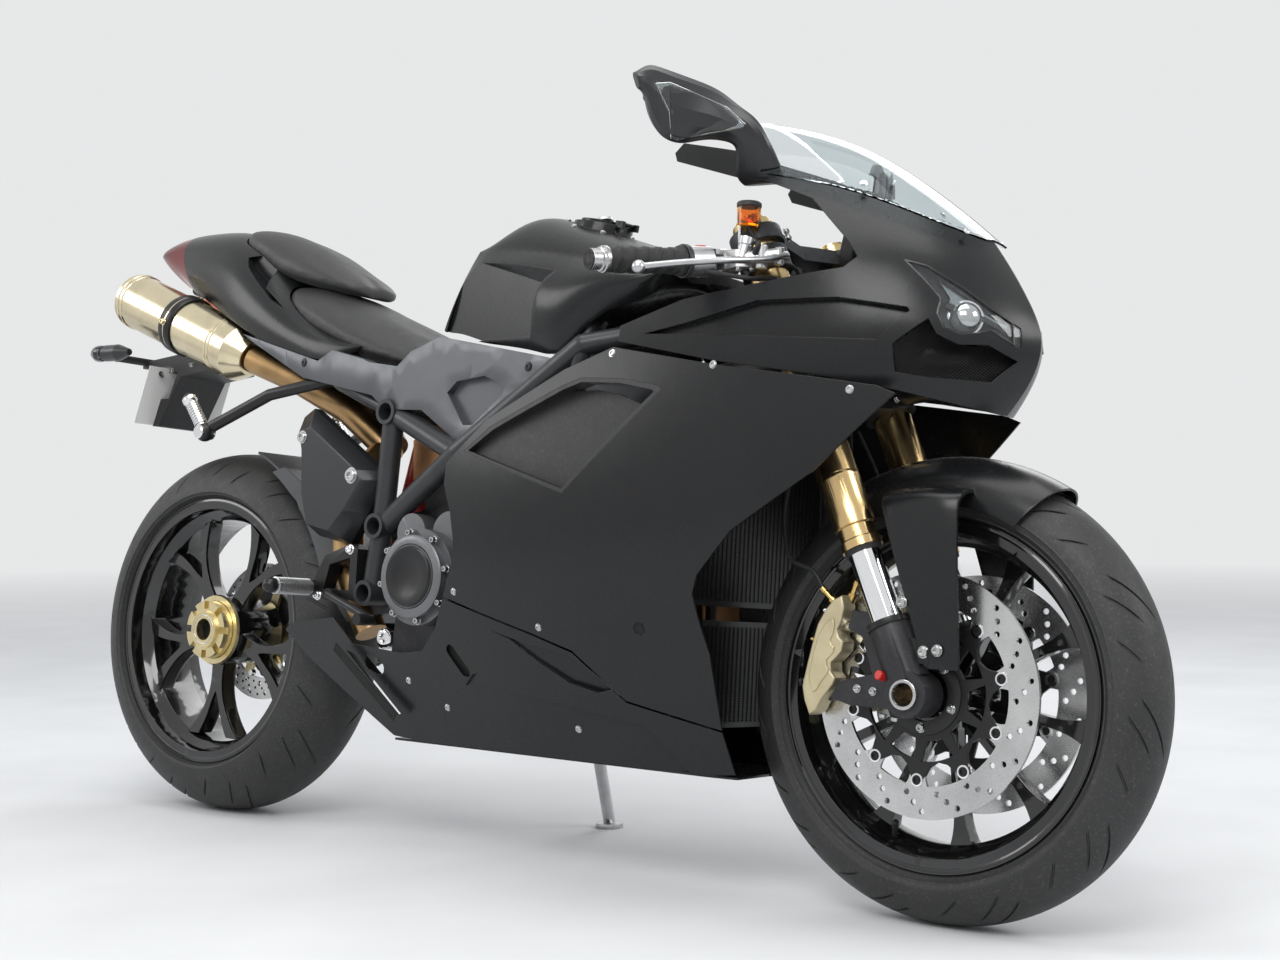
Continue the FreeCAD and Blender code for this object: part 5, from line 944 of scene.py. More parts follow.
def instruments():
    case, face, dial, ring, panel, marks = Form(), Form(), Form(), Form(), Form(), Form()
    right, up = Vector((0, 1, 0)), Vector((0.22, 0, 0.975)).normalized()
    back = right.cross(up)
    centre = Vector((1290, 0, 900))
    outline = []
    for k in range(48):
        a = 2 * math.pi * k / 48
        c, s = math.cos(a), math.sin(a)
        outline.append((86 * math.copysign(abs(c) ** 0.6, c), 52 * math.copysign(abs(s) ** 0.7, s)))
    case.plate([outline], centre, right, up, 26, 6, 3)
    toward_rider = -1 if back.x > 0 else 1
    out = back * toward_rider
    face.plate([toward(outline, 0.9)], centre + out * 13, right, up, 1.6, 0.5)
    dial.lathe(centre + right * -34 + out * 13, out, [(0, 37), (2.2, 37), (2.2, 0.05)], 48)
    ring.lathe(centre + right * -34 + out * 13, out, [(0, 37), (0, 40), (4, 40), (5, 38.5), (4, 37)], 48,
               closed=True)
    for k in range(25):
        a = math.radians(-35 + 10.4 * k)
        way = right * math.cos(a) + up * math.sin(a)
        across = way.cross(out)
        long = 6 if k % 4 == 0 else 3
        marks.box(centre + right * -34 + out * 15.5 + way * (33 - long / 2), way * long / 2, across * 0.6,
                  out * 0.3)
    needle = (right * -0.75 + up * -0.66).normalized()
    marks.box(centre + right * -34 + out * 16.5 + needle * 11, needle * 15, needle.cross(out) * 0.9,
              out * 0.5)
    marks.lathe(centre + right * -34 + out * 15, out, [(0, 4), (3, 4), (3, 0.05)], 16)
    panel.box(centre + right * 40 + out * 14, right * 27, up * 24, out * 1.4)
    for k in range(3):
        face.lathe(centre + right * (18 + 20 * k) + up * 34 + out * 13, out,
                   [(0, 3), (2.2, 3), (2.6, 2), (2.6, 0.05)], 12)
    piece("instrument_case", "chassis", case, "dark_plastic")
    piece("instrument_face", "chassis", face, "grey_plastic")
    piece("rev_dial", "chassis", dial, "dial_black")
    piece("rev_dial_ring", "chassis", ring, "aluminium")
    piece("instrument_screen", "chassis", panel, "dash_grey", bevel=0.8)
    piece("dial_marks", "chassis", marks, "white_plate")
    under = Form()
    under.slab([(1350, -96, 704), (1420, -84, 700), (1468, -50, 698), (1468, 50, 698), (1420, 84, 700),
                (1350, 96, 704)],
               (0, 0, 3))
    piece("nose_inner_panel", "chassis", under, "dark_plastic")
    ducts = Form()
    for side in (-1, 1):
        ducts.tube(bent([(1452, side * 40, 742), (1400, side * 70, 738), (1300, side * 92, 730),
                         (1180, side * 96, 716),
                         (1050, side * 92, 706)], 6), [22, 24, 26, 28, 29, 30] + [30] * 19, 20)
    piece("air_ducts", "chassis", ducts, "satin_black", angle=60)
    wires = Form()
    wires.tube(bent([(1306, 20, 850), (1290, 30, 822), (1262, 24, 800), (1236, 10, 790)], 6), 6, 8)
    wires.tube(bent([(1380, -30, 800), (1340, -40, 790), (1300, -36, 800), (1262, -20, 792)], 6), 4.5, 8)
    wires.tube(bent([(1380, 30, 800), (1340, 40, 790), (1300, 36, 800), (1262, 30, 792)], 6), 4.5, 8)
    piece("dash_wires", "chassis", wires, "grip_rubber", angle=80)


MIRROR_ROWS = [
    ((1176, 190, 1074), (1152, 221, 1025), 11, 0.8), ((1158, 215, 1092), (1140, 240, 1020), 13, 1.0),
    ((1135, 249, 1104), (1127, 262, 1014), 13, 1.0), ((1111, 283, 1113), (1108, 286, 1028), 13, 1.0),
    ((1098, 304, 1112), (1100, 298, 1058), 11, 1.0),
]
MIRROR_LENS = [(199, 1085), (179, 1088), (97, 1066), (67, 1048), (71, 1042), (120, 1028), (159, 1016),
               (170, 1018),
               (179, 1048)]


def mirror_faces():
    glass, rims, lenses, plates, ridges = Form(), Form(), Form(), Form(), Form()
    for side in (-1, 1):
        rows = []
        for upper, lower, back, turned in MIRROR_ROWS:
            top, low = Vector((upper[0], side * upper[1], upper[2])), Vector((lower[0], side * lower[1],
                                                                              lower[2]))
            down = (low - top).normalized()
            ahead = Vector((0.28 + 0.55 * turned, side * (0.96 - 0.4 * turned), 0))
            ahead = (ahead - down * ahead.dot(down)).normalized()
            rows.append([top.lerp(low, t) - ahead * (back + 0.7) for t in (0.25, 0.38, 0.5, 0.62, 0.75)])
        glass.grid(rows)
        loop = rows[0][:] + [r[-1] for r in rows[1:]] + rows[-1][-2::-1] + [r[0] for r in rows[-2:0:-1]]
        rims.tube(loop + loop[:2], 1.8, 8, capped=False)
        base = Vector((1214, side * 132, 0))
        out, ahead = Vector((-0.56, side * 0.83, 0)), Vector((0.83, side * 0.56, 0))
        front = []
        for s, z in MIRROR_LENS:
            start = base + out * s + ahead * 80
            ray = REST @ (Vector((start.x, start.y, z)) * MM)
            way = (REST.to_3x3() @ -ahead).normalized()
            hit, place, _, _ = NODES["mirrors"].ray_cast(ray, way)
            front.append((REST_BACK @ place) / MM if hit else None)
        seen = [p for p in front if p is not None]
        if len(seen) >= 5:
            plates.slab([p + ahead * 0.4 for p in seen], ahead * 0.8)
            lenses.slab([p + ahead * 1.2 for p in seen], ahead * 4.2)
            middle = sum(seen, Vector()) / len(seen)
            for k in range(-5, 6):
                ridges.box(middle + out * (k * 5) + ahead * 1.9 + Vector((0, 0, k * 1.6)), out * 0.8,
                           ahead * 0.5,
                           Vector((0, 0, 5)))
    piece("mirror_glass", "chassis", glass, "chrome")
    piece("mirror_rims", "chassis", rims, "dark_plastic", angle=80)
    if lenses.points:
        piece("mirror_lamp_backs", "chassis", plates, "lamp_grey")
        piece("mirror_lamp_lenses", "chassis", lenses, "lens", bevel=1.2)
        piece("mirror_lamp_ridges", "chassis", ridges, "lamp_silver")


# Middle: fairing screws, engine, brackets, radiator and shock
def fairing_details():
    screws("fairing_screws", "chassis", "side_fairing_right",
           [(700, 402), (865, 357), (1160, 242), (985, 745), (1162, 722), (1365, 685)], 4.6, "steel", 2.4,
           both=False)
    form = Form()
    for x, z in ((985, 745), (1162, 722), (1365, 685), (865, 357), (1160, 242)):
        found = surface("side_fairing_left", x, z, 1)
        if found:
            form.bolt(found[0] - found[1] * 0.4, found[1], 4.6, 2.4)
    piece("fairing_screws_left", "chassis", form, "steel")
    screws("belly_screws", "chassis", "belly_pan", [(700, 402), (1020, 270), (560, 262), (900, 214),
                                                    (640, 226)], 4.6,
           "steel", 2.4)
    screws("side_cover_screws", "chassis", "side_covers", [(790, 739), (269, 769)], 6.2, "satin_black", 2.0)
    screws("mudguard_bolts", "steering", "front_mudguard", [(1415, 417), (1447, 355)], 6.5, "steel", 5)
    screws("guard_bolts", "chassis", "exhaust_guard", [(312, 641)], 8.5, "steel", 4.5, both=False)
    screws("guard_bolts_low", "chassis", "exhaust_guard", [(432, 578)], 10.5, "aluminium", 5.5, both=False)
    # Painted shade: a shallow near-black cap on each side fairing stands for the shade in its recess
    recess = Form()
    for side in (-1, 1):
        found = surface("side_fairing_right" if side < 0 else "side_fairing_left", 1043, 364, side)
        if found:
            spot, normal = found
            recess.lathe(spot - normal * 0.6, normal, [(0, 10), (1.4, 10), (1.6, 8.4), (0.9, 8.2),
                                                       (0.9, 0.05)], 6)
    if recess.points:
        piece("fairing_recess_shades", "chassis", recess, "painted_shade_void")
    # Painted shade: near-black sheets behind the belly pan's slots stand for the shade inside them
    backs = Form()
    slots = (((672, 314), (697, 283), 9, 7), ((468, 286), (490, 279), 13, 9), ((411, 301), (526, 208), 3, 22))
    for side in (-1, 1):
        for (x0, z0), (x1, z1), wide, deep in slots:
            way = Vector((x1 - x0, 0, z1 - z0)).normalized() * (wide + 5)
            across = Vector((-way.z, 0, way.x))
            corners = (Vector((x0, 0, z0)) - way - across, Vector((x1, 0, z1)) + way - across,
                       Vector((x1, 0, z1)) + way + across, Vector((x0, 0, z0)) - way + across)
            spots = [surface("belly_pan", c.x, c.z, side) for c in corners]
            if all(spots):
                backs.slab([Vector((s[0].x, s[0].y - side * deep, s[0].z)) for s in spots],
                           (0, -side * 1.5, 0))
    if backs.points:
        piece("belly_slot_shade_backs", "chassis", backs, "painted_shade_void")
    tank = Form()
    for k in range(7):
        a = math.radians(360 / 7 * k)
        found = surface("fuel_tank", 790 + 57 * math.cos(a), 0, down=57 * math.sin(a))
        if found:
            tank.bolt(found[0] - found[1] * 0.3, found[1], 4.2, 3)
    if tank.points:
        piece("filler_bolts", "chassis", tank, "steel")
    cap = Form()
    up = Vector((-math.sin(math.radians(9.2)), 0, math.cos(math.radians(9.2))))
    cap.lathe(Vector((790, 0, 979)) + up * 1, up, [(0, 15), (4, 14), (4.6, 12), (3, 11), (3, 0.05)], 32)
    cap.box(Vector((790, 0, 979)) + up * 5, Vector((12, 0, 2)), Vector((0, 3, 0)), up * 1.2)
    found = surface("fuel_cap", 790, 0, down=0)
    if found:
        shift = found[0] - Vector((790, 0, 979))
        for point in cap.points:
            point += shift
    piece("fuel_cap_lock", "fuel_cap", cap, "aluminium")


def engine_details():
    clutch, bolts, ring, case = Form(), Form(), Form(), Form()
    centre = Vector((598, -188, 422))
    clutch.lathe(centre, (0, -1, 0), [(-0.5, 47), (2, 46), (4, 44), (4, 30), (3, 28), (3, 0.05)], 48)
    ring.lathe(centre, (0, -1, 0), [(-6.5, 61), (-4, 63.5), (-2, 61), (-1, 55), (-1, 50), (-6, 50)], 48,
               closed=True)
    for k in range(8):
        a = 2 * math.pi * k / 8 + 0.2
        bolts.bolt(centre + Vector((68 * math.cos(a), 12, 68 * math.sin(a))), (0, -1, 0), 5, 7)
    left = Vector((690, 148, 400))
    case.lathe(left, (0, 1, 0), [(-2, 70), (6, 68), (12, 60), (14, 52), (14, 30), (11, 27), (11, 0.05)], 48)
    for k in range(7):
        a = 2 * math.pi * k / 7
        bolts.bolt(left + Vector((76 * math.cos(a), -1, 76 * math.sin(a))), (0, 1, 0), 5, 5)
    for x, z in ((556, 322), (640, 318), (724, 336), (768, 420), (742, 490)):
        found = surface("engine_covers", x, z)
        if found:
            bolts.bolt(found[0], found[1], 5, 6)
    piece("clutch_disc", "chassis", clutch, "satin_black")
    piece("clutch_ring", "chassis", ring, "cover_grey")
    piece("generator_cover", "chassis", case, "cover_grey")
    piece("engine_bolts", "chassis", bolts, "steel")
    screws("cam_cover_bolts", "chassis", "cam_covers", [(539, 587), (590, 640), (520, 650), (600, 606)], 6,
           "steel", 5)
    boss = Form()
    boss.lathe((485, -112, 323), (0, -1, 0), [(0, 17), (10, 16), (12, 13), (12, 8), (6, 7.5), (6, 0.05)], 28)
    piece("gear_shaft_boss", "chassis", boss, "bright_steel")
    fins = Form()
    for side in (-1, 1):
        for k in range(9):
            z = 540 - k * 11
            fins.box((700, side * 96, z), (52, 0, 0), (0, 12, 0), (0, 0, 1.6))
    piece("cylinder_fins", "chassis", fins, "cast_grey", bevel=0.4)
    screws("bracket_bolts", "chassis", "peg_brackets", [(429, 461), (376, 453), (448, 389), (360, 386)], 6.6,
           "bright_steel", 6)
    sleeves = Form()
    for side in (-1, 1):
        profile = [(0, 12.2)]
        for k in range(17):
            profile += [(2 + k * 4.2, 12.2), (2.6 + k * 4.2, 13.7), (4.8 + k * 4.2, 13.7),
                        (5.4 + k * 4.2, 12.2)]
        y = side * 164
        sleeves.lathe((352, y, 398), (0, side, 0), profile + [(76, 12.2)], 20)
    piece("rider_peg_sleeves", "chassis", sleeves, "aluminium")
    pads = Form()
    for side in (-1, 1):
        start, end = Vector((72, side * 168, 652)), Vector((30, side * 172, 710))
        way = (end - start).normalized()
        profile = [(0, 9)]
        for k in range(9):
            profile += [(16 + k * 5, 9.2), (16.6 + k * 5, 11.4), (19 + k * 5, 11.4), (19.6 + k * 5, 9.2)]
        pads.lathe(start, way, profile + [(64, 10.5), (66, 13), (72, 13), (74, 10)], 18)
        pads.lathe(start - Vector((0, side * 14, 0)), (0, side, 0),
                   [(0, 12), (28, 12), (30, 10), (30, 0.05)], 20)
    piece("pillion_peg_sleeves", "chassis", pads, "bright_steel")


def radiators():
    core, tanks = Form(), Form()
    for x, half, low, high in ((1108.5, 160, 408, 632), (1096.5, 106, 238, 372)):
        z = low
        while z <= high:
            core.box((x, 0, z), (1.6, 0, 0), (0, half, 0), (0, 0, 0.45))
            z += 3.4
        y = -half
        while y <= half:
            core.box((x - 0.4, y, (low + high) / 2), (1.4, 0, 0), (0, 1.1, 0), (0, 0, (high - low) / 2))
            y += 10.4
    for side in (-1, 1):
        tanks.box((1090, side * 163, 520), (20, 0, 0), (0, 6, 0), (0, 0, 118))
    piece("radiator_fins", "chassis", core, "mesh_black")
    piece("radiator_tanks", "chassis", tanks, "satin_black", bevel=3)
    hoses = Form()
    hoses.tube(bent([(1080, -140, 425), (1050, -142, 400), (980, -120, 380), (900, -104, 372)], 8), 15, 16)
    hoses.tube(bent([(1080, 140, 620), (1040, 142, 640), (960, 110, 652), (900, 80, 640)], 8), 15, 16)
    piece("coolant_hoses", "chassis", hoses, "grip_rubber", angle=80)
    clips = Form()
    clips.lathe((1046, -142, 398), (0.75, 0, 0.6), [(-4, 15.2), (-4, 17.2), (4, 17.2), (4, 15.2)], 24,
                closed=True)
    clips.lathe((1040, 142, 640), (0.8, 0.2, -0.4), [(-4, 15.2), (-4, 17.2), (4, 17.2), (4, 15.2)], 24,
                closed=True)
    piece("hose_clips", "chassis", clips, "steel")


def shock():
    low, high = Vector((405, 0, 470)), Vector((455, 0, 655))
    way = (high - low).normalized()
    side = way.orthogonal().normalized()
    other = way.cross(side)
    length = (high - low).length
    turns, sides = 7.5, 20
    path = []
    for k in range(int(turns * sides) + 1):
        t = k / (turns * sides)
        a = 2 * math.pi * turns * t
        path.append(low + way * (length * (0.06 + 0.86 * t)) + (side * math.cos(a) + other * math.sin(a)) * 27.5)
    piece("shock_spring", "chassis", Form().tube(path, 4.6, 8), "shock_red", angle=80)


# Rear: silencers, plate, lamps, wheel parts, chain, stand and the seats
SILENCER_FRONT, SILENCER_WAY = Vector((52, 82, 800)), Vector((-305, 0, 112)).normalized()


def silencer_rings():
    bands, beads, rings, voids = Form(), Form(), Form(), Form()
    for side in (-1, 1):
        start = Vector((SILENCER_FRONT.x, side * SILENCER_FRONT.y, SILENCER_FRONT.z))
        bands.lathe(start, SILENCER_WAY, [(148, 50.4), (148, 53), (151, 54.6), (161, 54.6), (163, 53),
                                          (165, 54.6),
                                          (175, 54.6), (178, 53), (178, 50.4)], 64, closed=True)
        for along, reach in ((36, 50.2), (44, 50.2), (304, 50.2), (314, 50.2)):
            beads.lathe(start, SILENCER_WAY, [(along - 3, reach), (along - 1.5, reach + 1.5),
                                              (along + 1.5, reach + 1.5),
                                              (along + 3, reach)], 64, closed=True)
        beads.lathe(start, SILENCER_WAY, [(-4, 30.4), (-4, 32.5), (2, 33.5), (3, 31)], 48, closed=True)
        rings.lathe(start, SILENCER_WAY, [(326, 34.4), (338, 33.4), (338, 36.5), (335, 40), (330, 42)], 48,
                    closed=True)
        # Painted shade: a near-black cap and lining inside each silencer end stand for the shade in the bore
        voids.lathe(start, SILENCER_WAY, [(250, 33.8), (250, 0.05)], 32)
        voids.lathe(start, SILENCER_WAY, [(250, 33.7), (322, 33.7)], 32)
        beads.bolt(start + SILENCER_WAY * 163 + Vector((0, side * 54.5, 0)), (0, side, 0), 5, 6)
    piece("silencer_straps", "chassis", bands, "satin_black")
    piece("silencer_beads", "chassis", beads, "titanium")
    piece("silencer_ends", "chassis", rings, "bright_steel")
    piece("silencer_bore_shade", "chassis", voids, "painted_shade_void")


def tail_details():
    screws("tail_screws", "chassis", "tail_fairing", [(120, 812)], 4.6, "steel", 2.4)
    tips = Form()
    for side in (-1, 1):
        start = Vector((-286, side * 134, 806))
        tips.lathe(start, (-1, 0, 0), [(-14, 14.4), (-6, 15.4), (2, 14.8), (10, 11.4), (15, 7), (17.5, 3),
                                       (18, 0.5)], 28)
    piece("indicator_lenses", "chassis", tips, "smoke")
    plate = Form()
    down = Vector((math.sin(math.radians(19)), 0, -math.cos(math.radians(19))))
    out = Vector((-math.cos(math.radians(19)), 0, -math.sin(math.radians(19))))
    top = Vector((-186, 0, 786))
    for y in (-70, 70):
        plate.bolt(top + Vector((0, y, 0)) + down * 14 + out * 1.2, out, 5, 3)
    piece("plate_screws", "chassis", plate, "steel")
    light = Form()
    light.box(top + Vector((6, 0, 10)) + out * 10, Vector((0, 24, 0)), out * 8, Vector((0, 0, 6)))
    piece("plate_light", "chassis", light, "dark_plastic", bevel=2)
    bolts = Form()
    for side in (-1, 1):
        for x, z in ((-176, 782), (-120, 790)):
            found = surface("plate_carrier", x, z, side)
            if found:
                bolts.bolt(found[0], found[1], 4, 4)
    if bolts.points:
        piece("carrier_bolts", "chassis", bolts, "steel")


def rear_wheel_details():
    disc, hub, nut = Form(), Form(), Form()
    for k in range(6):
        spot = around(REAR_AXLE, 80, 60 * k + 12, 54)
        disc.lathe(spot - Vector((0, 4.4, 0)), (0, 1, 0), [(0, 5.4), (9, 5.4), (9, 3), (6, 2.6), (6, 0.05)],
                   16)
    piece("rear_disc_bobbins", "rear_wheel", disc, "bright_steel")
    hub.lathe(REAR_AXLE, (0, 1, 0), [(-81, 22), (-81, 31), (-84.6, 31), (-84.6, 29), (-82, 28), (-82, 22)],
              40, closed=True)
    hub.lathe(REAR_AXLE, (0, 1, 0), [(-60, 51), (-55, 56), (-55, 62), (-60, 60)], 48, closed=True)
    piece("rear_hub_rings", "rear_wheel", hub, "pale_gold")
    clip = Form()
    path = [around(REAR_AXLE, 25, d, -83.5) for d in range(20, 350, 15)]
    clip.tube(path, 1.3, 6)
    piece("hub_clip", "rear_wheel", clip, "steel", angle=80)
    bore = Form().lathe(REAR_AXLE, (0, 1, 0), [(-70, 18.8), (-70, 0.05)], 24)
    piece("rear_bore_shade", "rear_wheel", bore, "painted_shade_void")
    for k in range(6):
        spot = around(REAR_AXLE, 58, 60 * k + 30, 128)
        nut.lathe(spot, (0, 1, 0), [(-2, 8), (5, 8), (6, 7), (6, 0.05)], 6)
    piece("sprocket_nuts", "rear_wheel", nut, "steel")
    # Painted shade: thin near-black discs on both faces of the rear disc stand for its drilled holes and the shade seen
    # through them
    holes = Form()
    for k in range(36):
        for j, r in enumerate((92, 103, 114)):
            spot = around(REAR_AXLE, r, 10 * k + j * 4, 54)
            for y in (-2.7, 2.7):
                holes.lathe(spot + Vector((0, y, 0)), (0, 1, 0), [(-0.15, 2.3), (0.15, 2.3)], 8)
    piece("rear_disc_hole_shade", "rear_wheel", holes, "painted_shade_void")
    pads = Form()
    for x, z in ((139, 300), (146, 246)):
        pads.bolt(Vector((x - 24, 40, z)), (0, -1, 0), 6, 4)
    pads.lathe((96, 39, 268), (0, -1, 0), [(-1, 24), (3, 23), (4, 20), (2, 18), (2, 0.05)], 28)
    pads.lathe((100, 63, 268), (0, 1, 0), [(-1, 24), (3, 23), (4, 20), (2, 18), (2, 0.05)], 28)
    piece("rear_caliper_details", "chassis", pads, "aluminium")
    hose = Form().tube(bent([(98, 44, 314), (112, 46, 340), (170, 60, 372), (300, 84, 396), (420, 96, 400),
                             (480, 100, 420)], 8), 3, 8)
    piece("rear_brake_pipe", "chassis", hose, "grip_rubber", angle=80)


def chain_links():
    big, small = Vector((0, 0, 315)), Vector((560, 0, 405))
    reach = 15.875 / 2 / math.sin(math.pi / 39)
    near = 15.875 / 2 / math.sin(math.pi / 15)
    line = small - big
    gap, angle = line.length, math.atan2(line.z, line.x)
    lean = math.acos((reach - near) / gap)
    pieces = []
    for sign in (1, -1):
        a = angle + sign * lean
        first = big + Vector((math.cos(a), 0, math.sin(a))) * reach
        last = small + Vector((math.cos(a), 0, math.sin(a))) * near
        pieces.append((first, last, a))
    path = []

    def arc(centre, radius, start, end):
        count = max(2, int(abs(end - start) * radius / 2))
        return [centre + Vector((math.cos(start + (end - start) * k / count), 0,
                                 math.sin(start + (end - start) * k / count))) * radius for k in range(count)]

    def straight(first, last):
        count = int((last - first).length / 2)
        return [first.lerp(last, k / count) for k in range(count)]

    path += straight(pieces[0][0], pieces[0][1])
    path += arc(small, near, pieces[0][2], pieces[1][2])
    path += straight(pieces[1][1], pieces[1][0])
    path += arc(big, reach, pieces[1][2], pieces[0][2] - 2 * math.pi)
    total = sum((b - a).length for a, b in zip(path, path[1:] + path[:1]))
    count = 2 * round(total / 15.875 / 2)
    pitch = total / count
    spots, left, goal = [], 0.0, 0.0
    for a, b in zip(path, path[1:] + path[:1]):
        step = (b - a).length
        while goal <= left + step and len(spots) < count:
            spots.append(a.lerp(b, (goal - left) / step))
            goal += pitch
        left += step
    plates, rollers = Form(), Form()
    for k, (a, b) in enumerate(zip(spots, spots[1:] + spots[:1])):
        way = (b - a).normalized()
        up = Vector((-way.z, 0, way.x))
        middle = (a + b) / 2
        reach_out = 1.3 if k % 2 else 0.0
        outline = []
        for t, h in ((-13, 0), (-12, 4), (-9, 6.4), (-4, 5.6), (0, 4.2), (4, 5.6), (9, 6.4), (12, 4),
                     (13, 0)):
            outline.append(middle + way * t + up * h)
        outline += [middle * 2 - p for p in outline[1:-1]]
        for y in (130.5 + reach_out, 110.2 - reach_out):
            plates.slab([p + Vector((0, y, 0)) for p in outline], (0, 1.4, 0))
        rollers.lathe(a + Vector((0, 109, 0)), (0, 1, 0), [(0, 2.6), (25.4, 2.6)], 8)
    piece("chain_plates", "chassis", plates, "chain_steel")
    piece("chain_pins", "chassis", rollers, "steel")


def stand_details():
    pivot, foot = Vector((700, 142, 222)), Vector((655, 262, 40))
    start, end = pivot + Vector((-26, 6, 24)), pivot.lerp(foot, 0.38) + Vector((-14, 8, 4))
    way = (end - start).normalized()
    side = way.orthogonal().normalized()
    other = way.cross(side)
    length = (end - start).length
    path = []
    for k in range(16 * 16 + 1):
        a = 2 * math.pi * k / 16
        path.append(start + way * (length * (0.12 + 0.76 * k / 256)) + (side * math.cos(a) + other * math.sin(a)) * 5.2)
    form = Form().tube(path, 1.2, 5)
    form.tube([start, start + way * length * 0.12], 1.3, 6)
    form.tube([end - way * length * 0.12, end], 1.3, 6)
    piece("stand_spring", "side_stand", form, "steel", angle=80)


def cushion(name, node, cover, shrink, limit):
    """A stuffed pad blown up from a slightly smaller copy of its plain solid."""
    source = NODES[node]
    obj = bpy.data.objects.new(name, source.data.copy())
    bpy.context.scene.collection.objects.link(obj)
    obj.matrix_world = source.matrix_world.copy()
    remesh = obj.modifiers.new("remesh", "REMESH")
    remesh.mode = "VOXEL"
    remesh.voxel_size = 0.0055
    settle(obj)
    mesh = obj.data
    ways = [v.normal.copy() for v in mesh.vertices]
    for vertex, way in zip(mesh.vertices, ways):
        vertex.co = vertex.co - way * shrink * MM * (1 if way.z > -0.4 else 0)
    held = obj.vertex_groups.new(name="held")
    for vertex, way in zip(mesh.vertices, ways):
        if way.z < -0.4:
            held.add([vertex.index], 1.0, "REPLACE")
    before = [v.co.copy() for v in mesh.vertices]
    cloth = obj.modifiers.new("cloth", "CLOTH")
    cloth.settings.quality = 5
    cloth.settings.mass = 0.3
    cloth.settings.tension_stiffness = 25
    cloth.settings.compression_stiffness = 25
    cloth.settings.shear_stiffness = 12
    cloth.settings.bending_stiffness = 1.5
    cloth.settings.use_pressure = True
    cloth.settings.uniform_pressure_force = 4
    cloth.settings.vertex_group_mass = "held"
    cloth.settings.effector_weights.gravity = 0
    cloth.point_cache.frame_start, cloth.point_cache.frame_end = 1, 20
    for step in range(1, 21):
        bpy.context.scene.frame_set(step)
    settle(obj)
    for vertex, place in zip(obj.data.vertices, before):
        move = vertex.co - place
        if move.length > limit * MM:
            vertex.co = place + move.normalized() * limit * MM
    bpy.context.scene.frame_set(1)
    smooth = obj.modifiers.new("smooth", "SMOOTH")
    smooth.factor = 0.5
    smooth.iterations = 4
    layer = obj.modifiers.new("rounds", "SUBSURF")
    layer.levels = layer.render_levels = 1
    settle(obj)
    obj.data.materials.clear()
    obj.data.materials.append(FINISHES[cover])
    obj.data.shade_smooth()
    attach(obj, "chassis")
    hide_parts(node)
    return obj


def settle(obj):
    """Turns what the modifiers make into the piece's own mesh."""
    ready = obj.evaluated_get(bpy.context.evaluated_depsgraph_get())
    mesh = bpy.data.meshes.new_from_object(ready)
    obj.modifiers.clear()
    obj.data = mesh


def seats():
    cushion("rider_seat_pad", "rider_seat", "seat_cover", 3.0, 5.0)
    cushion("pillion_pad", "pillion_cover", "seat_cover", 2.4, 5.0)


tyres()
wheel_trim()
disc_details()
carriers()
calipers()
fork_details()
clamp_details()
cockpit()
levers()
lamps()
intake_mesh()
screen_trim()
instruments()
mirror_faces()
fairing_details()
engine_details()
radiators()
shock()
silencer_rings()
tail_details()
rear_wheel_details()
chain_links()
stand_details()
seats()


CAD_FINISH = {
    "matt_black": ["fuel_tank", "tail_fairing", "side_fairing_right", "side_fairing_left", "belly_pan",
                   "nose_fairing", "pillion_cover", "front_mudguard", "fuel_cap"],
    "grey_plastic": ["hugger"],
    "side_grey": ["side_covers"],
    "guard_black": ["exhaust_guard", "rear_indicators", "mirrors"],
    "dark_plastic": ["plate_carrier", "nose_carrier", "vent_panels", "fairing_stays"],
    "gloss_black": ["rear_rim", "front_rim"],
    "frame_paint": ["trellis_frame"],
    "cast_dark": ["engine_block", "stand_bracket", "fork_feet", "triple_clamps", "swingarm"],
    "cover_grey": ["engine_covers"],
    "bronze": ["cam_covers"],
    "satin_black": ["pillion_footrests", "peg_brackets", "foot_levers", "disc_carriers", "clip_on_bars",
                    "radiator"],
    "steel": ["rear_sprocket", "front_axle"],
    "disc_steel": ["front_disc_right", "front_disc_left", "rear_disc"],
    "chain_steel": ["chain_drive"],
    "aluminium": ["levers", "side_stand", "bar_controls"],
    "titanium": ["silencers"],
    "pipe_tint": ["exhaust_pipe"],
    "caliper_gold": ["front_calipers", "rear_caliper"],
    "pale_gold": ["rear_hub"],
    "fork_gold": ["fork_outer_tubes"],
    "chrome": ["fork_inner_tubes"],
    "rubber": ["front_tyre", "rear_tyre"],
    "grip_rubber": ["grips"],
    "seat_cover": ["rider_seat"],
    "shock_red": ["rear_shock"],
    "screen": ["windscreen"],
    "lens": ["headlight_lenses"],
    "red_lens": ["tail_lamp"],
    "white_plate": ["number_plate"],
}
EDGES = {
    1.4: ["fuel_tank", "side_covers", "swingarm", "fork_feet", "triple_clamps", "exhaust_guard",
          "plate_carrier", "rear_rim", "front_rim", "hugger", "front_mudguard", "engine_block",
          "engine_covers"],
    0.8: ["peg_brackets", "foot_levers", "rear_caliper", "pillion_footrests", "nose_carrier", "radiator",
          "cam_covers",
          "windscreen", "stand_bracket", "side_stand", "number_plate", "fairing_stays"],
}


def dress_nodes():
    for name, members in CAD_FINISH.items():
        for member in members:
            for place in NODES[member].material_slots:
                place.material = FINISHES[name]
    for width, members in EDGES.items():
        for member in members:
            join = NODES[member].modifiers.new("join", "WELD")
            join.merge_threshold = 0.00002
            soften(NODES[member], width, 38, 2)


dress_nodes()


# Stage: a pale floor and soft lamps
BACKDROP = (0.8, 0.805, 0.81, 1)


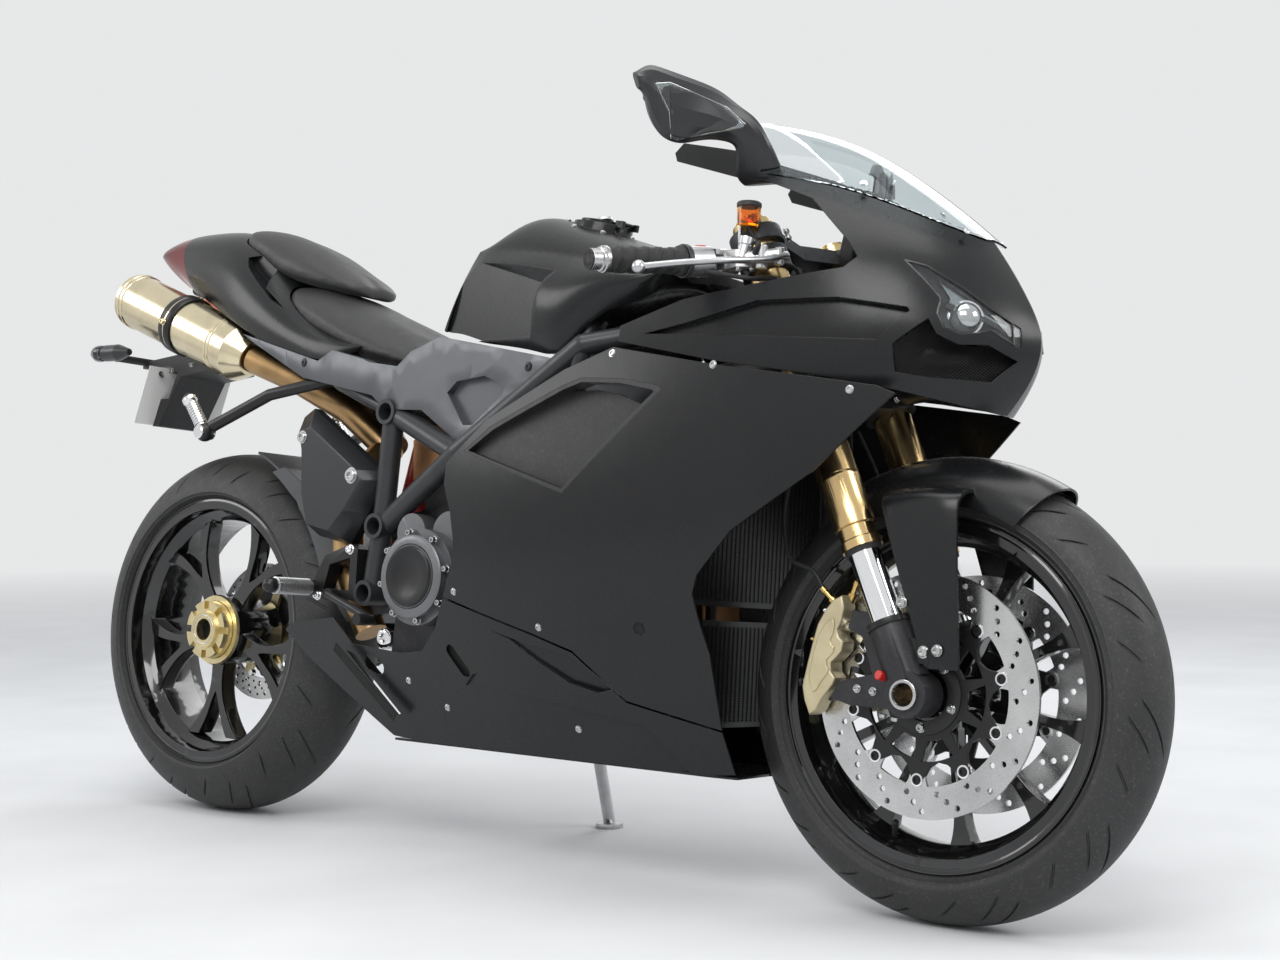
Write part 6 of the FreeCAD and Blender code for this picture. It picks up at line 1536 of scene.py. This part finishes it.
def stage():
    floor = bpy.data.meshes.new("floor")
    half = 30.0
    floor.from_pydata([(-half, -half, 0), (half, -half, 0), (half, half, 0), (-half, half, 0)], [],
                      [(0, 1, 2, 3)])
    obj = bpy.data.objects.new("floor", floor)
    bpy.context.scene.collection.objects.link(obj)
    nodes = Nodes("floor")
    nodes.link(nodes.blend(nodes.spread(nodes.noise(3, 5), 0, 1), (0.66, 0.665, 0.66), (0.72, 0.725, 0.72)),
               "Base Color")
    nodes.shader.inputs["Roughness"].default_value = 0.85
    nodes.link(nodes.bump(nodes.noise(300, 3), 0.1), "Normal")
    away = nodes.add("VectorMath", {0: nodes.coords}, operation="LENGTH").outputs["Value"]
    glow = nodes.add("Emission", {"Color": BACKDROP, "Strength": 1.0})
    merge = nodes.add("MixShader", {"Fac": nodes.spread(away, 0, 1, 3.0, 9.0)})
    nodes.tree.links.new(nodes.shader.outputs[0], merge.inputs[1])
    nodes.tree.links.new(glow.outputs[0], merge.inputs[2])
    nodes.tree.links.new(merge.outputs[0], nodes.tree.nodes["Material Output"].inputs["Surface"])
    obj.data.materials.append(nodes.material)
    world = bpy.data.worlds.new("world")
    bpy.context.scene.world = world
    world.use_nodes = True
    tree = world.node_tree
    seen = tree.nodes["Background"]
    seen.inputs["Color"].default_value = BACKDROP
    seen.inputs["Strength"].default_value = 1.0
    soft = tree.nodes.new("ShaderNodeBackground")
    soft.inputs["Color"].default_value = (0.85, 0.88, 0.95, 1)
    soft.inputs["Strength"].default_value = 0.62
    rays = tree.nodes.new("ShaderNodeLightPath")
    direct = tree.nodes.new("ShaderNodeMath")
    through = tree.nodes.new("ShaderNodeMath")
    direct.operation = "MAXIMUM"
    through.operation = "MAXIMUM"
    tree.links.new(rays.outputs["Is Camera Ray"], direct.inputs[0])
    tree.links.new(rays.outputs["Is Glossy Ray"], direct.inputs[1])
    tree.links.new(direct.outputs[0], through.inputs[0])
    tree.links.new(rays.outputs["Is Transmission Ray"], through.inputs[1])
    mix = tree.nodes.new("ShaderNodeMixShader")
    tree.links.new(through.outputs[0], mix.inputs["Fac"])
    tree.links.new(soft.outputs[0], mix.inputs[1])
    tree.links.new(seen.outputs[0], mix.inputs[2])
    tree.links.new(mix.outputs[0], tree.nodes["World Output"].inputs["Surface"])
    for name, place, width, power in (("key", (1.5, -3.2, 3.4), 2.6, 95),
                                      ("fill", (-3.2, -2.4, 2.4), 2.2, 40),
                                      ("front", (3.8, 1.0, 2.4), 2.0, 45),
                                      ("back", (-0.5, 3.5, 3.0), 2.4, 40),
                                      ("top", (0.3, -0.3, 3.4), 2.6, 45)):
        data = bpy.data.lights.new(name, "AREA")
        data.shape = "RECTANGLE"
        data.size, data.size_y, data.energy = width, width * 0.7, power
        lamp = bpy.data.objects.new(name, data)
        bpy.context.scene.collection.objects.link(lamp)
        lamp.location = place
        lamp.rotation_euler = (Vector((0, 0, 0.5)) - Vector(place)).to_track_quat("-Z", "Y").to_euler()
    bpy.context.scene.view_settings.view_transform = "Standard"


stage()
